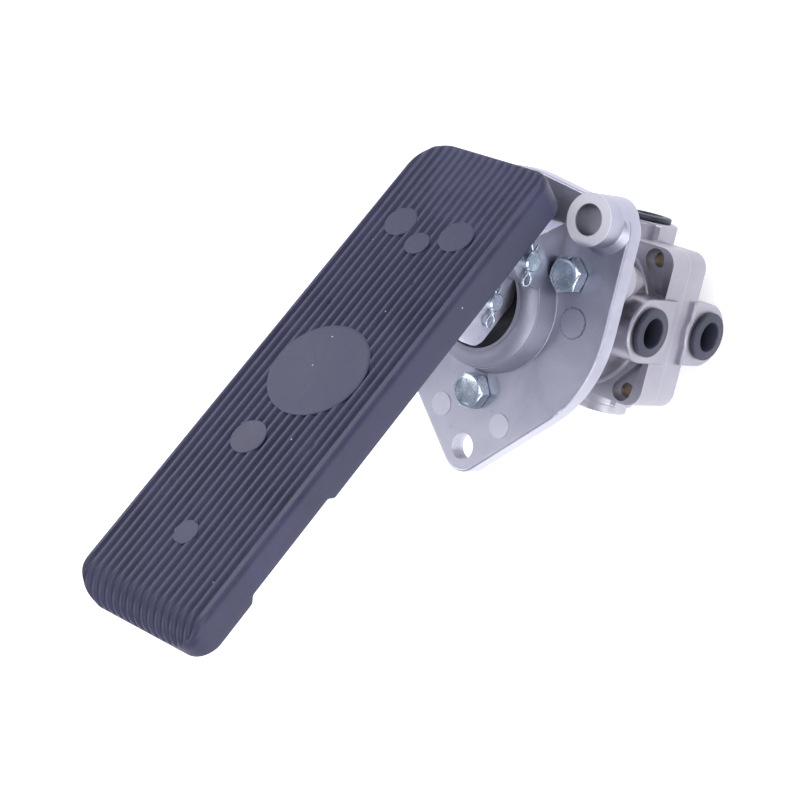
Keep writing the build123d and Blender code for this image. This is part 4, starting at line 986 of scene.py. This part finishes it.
def split_pin_path(y, z, half_span):
    """Follows the wire of a split pin: up one leg, round the eye and down the other."""
    spread = COTTER_SPREAD
    x = -half_span - PIN_SETBACK
    gap = COTTER_WIRE * 1.02
    far = y - COTTER_LENGTH / 2
    near = y + COTTER_LENGTH / 2 - 0.6
    leg = [
        (far - 0.2, gap + spread), (far + 0.9, gap + spread * 0.62), (far + 2.0, gap + spread * 0.25),
        (far + 3.0, gap), (y - 1.0, gap), (y + 1.5, gap), (near - 1.0, gap), (near - 0.3, gap * 1.1),
    ]
    eye = near + COTTER_EYE * 0.95
    turns = [math.radians(angle) for angle in range(-EYE_TURN, EYE_TURN + 1, EYE_STEP)]
    loop = [(eye + COTTER_EYE * math.cos(turn), -COTTER_EYE * math.sin(turn)) for turn in turns]
    back = [(along, -(gap + (out - gap) * 0.7)) for along, out in reversed(leg)]
    return [Vector((x, along, z + out)) for along, out in leg + loop + back]


def split_pins():
    """Makes the split pins, each on the body that its pin rides on."""
    for node, (y, z, half_span) in PINS.items():
        points, faces = sweep(split_pin_path(y, z, half_span), COTTER_WIRE)
        body = frame["nodes"][node]["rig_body"]
        piece = make_piece(f"{node}_wire", points, faces, "zinc_steel", body, sharp=40)
        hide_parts(node)


def welded(node):
    """Copies a CAD node's mesh in millimetres, with its split points joined."""
    solid = bmesh.new()
    solid.from_mesh(node.data)
    solid.transform(node.matrix_world)
    bmesh.ops.remove_doubles(solid, verts=solid.verts, dist=WELD_REACH)
    solid.verts.index_update()
    points = [tuple(vert.co / MM) for vert in solid.verts]
    faces = [tuple(vert.index for vert in face.verts) for face in solid.faces]
    solid.free()
    return points, faces


def soft_parts():
    """Remakes the boot and the springs as copies, with their split points joined, each with a mesh of its
    own.
    """
    for joint in frame["joints"]:
        for soft in joint.get("deforming_nodes", []):
            name = soft["node"]
            points, faces = welded(frame["nodes"][name])
            body = frame["nodes"][name]["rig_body"]
            piece = make_piece(f"{name}_flexed", points, faces, SLOTS[name], body)
            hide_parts(name)
            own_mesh(piece)


cap_screws()
hub_lines()
plugs()
split_pins()
soft_parts()


# Floor, light and camera
DOME_COLOUR = (0.36, 0.37, 0.45, 1)
BACKDROP_COLOUR = (1, 1, 1, 1)
FLOOR_SIZE = 12.0
FLOOR_GAP = 0.0004
FLOOR_GLOW = 0.62
FLOOR_COLOUR = (0.80, 0.80, 0.82, 1.0)


def floor():
    """Makes a white floor, just under the part, that stays white to the camera and keeps the shadow."""
    size = FLOOR_SIZE
    low = cad_box[0][2] - FLOOR_GAP
    corners = [(-size, -size, low), (size, -size, low), (size, size, low), (-size, size, low)]
    mesh = bpy.data.meshes.new("floor")
    mesh.from_pydata(corners, [], [(0, 1, 2, 3)])
    stage = bpy.data.objects.new("floor", mesh)
    bpy.context.scene.collection.objects.link(stage)
    graph = Graph("floor_white")
    tree = graph.tree
    tree.nodes.remove(graph.shader)
    path = graph.node("LightPath").outputs
    seen = graph.math("MAXIMUM", path["Is Camera Ray"], path["Is Glossy Ray"])
    seen = graph.math("MAXIMUM", seen, path["Is Transmission Ray"])
    glow = graph.node("Emission", {"Color": rgba(1, 1, 1), "Strength": graph.times(seen, FLOOR_GLOW)})
    matte = graph.node("BsdfDiffuse", {"Color": FLOOR_COLOUR})
    both = graph.node("AddShader", {0: glow.outputs[0], 1: matte.outputs[0]})
    tree.links.new(both.outputs[0], tree.nodes["Material Output"].inputs["Surface"])
    mesh.materials.append(graph.material)


def lamp(name, place, target, size, power, colour):
    """Adds a square soft lamp that points at a target."""
    light = bpy.data.lights.new(name, "AREA")
    light.shape = "SQUARE"
    light.size = size
    light.energy = power
    light.color = colour
    made = bpy.data.objects.new(name, light)
    made.location = place
    made.rotation_euler = (Vector(target) - Vector(place)).to_track_quat("-Z", "Y").to_euler()
    bpy.context.scene.collection.objects.link(made)


def world():
    """Sets a soft lilac-grey dome, white to the camera."""
    made = bpy.data.worlds.new("studio")
    made.use_nodes = True
    bpy.context.scene.world = made
    nodes = made.node_tree.nodes
    links = made.node_tree.links
    path = nodes.new("ShaderNodeLightPath")
    mix = nodes.new("ShaderNodeMixRGB")
    mix.inputs[1].default_value = DOME_COLOUR
    mix.inputs[2].default_value = BACKDROP_COLOUR
    links.new(path.outputs["Is Camera Ray"], mix.inputs[0])
    links.new(mix.outputs[0], nodes["Background"].inputs["Color"])
    nodes["Background"].inputs["Strength"].default_value = 1.0


def camera():
    """Sets the photograph's view, which was fitted to points read from it."""
    data = bpy.data.cameras.new("view")
    data.lens = 101.53
    data.sensor_width = 36.0
    data.clip_start = 0.01
    made = bpy.data.objects.new("view", data)
    right = Vector((-0.72248477, -0.22816221, -0.6526544))
    up = Vector((0.28872785, -0.95729306, 0.01504109))
    back = Vector((-0.62821333, -0.17757254, 0.75750644))
    turned = Matrix((right, up, back)).transposed().to_4x4()
    made.matrix_world = Matrix.Translation((-0.5286, -0.1087, 0.6878)) @ turned
    bpy.context.scene.collection.objects.link(made)
    bpy.context.scene.camera = made


floor()
world()
# Each lamp: place, target, size, power, colour
lamp("key", (-0.55, -0.35, 1.25), (0, 0.02, 0.02), 0.9, 7.5, (1.0, 0.99, 1.0))
lamp("sheen", (0.74, -0.58, 0.60), (0, 0.08, 0.12), 0.6, 4.6, (0.97, 0.97, 1.0))
lamp("ceiling", (0.80, 0.70, 0.84), (0, 0.05, 0), 0.5, 2.6, (0.98, 0.98, 1.0))
lamp("fill", (-0.9, 0.55, 0.45), (0, 0, -0.03), 0.7, 4.5, (0.98, 0.98, 1.0))
camera()
bpy.context.scene.view_settings.view_transform = "Standard"
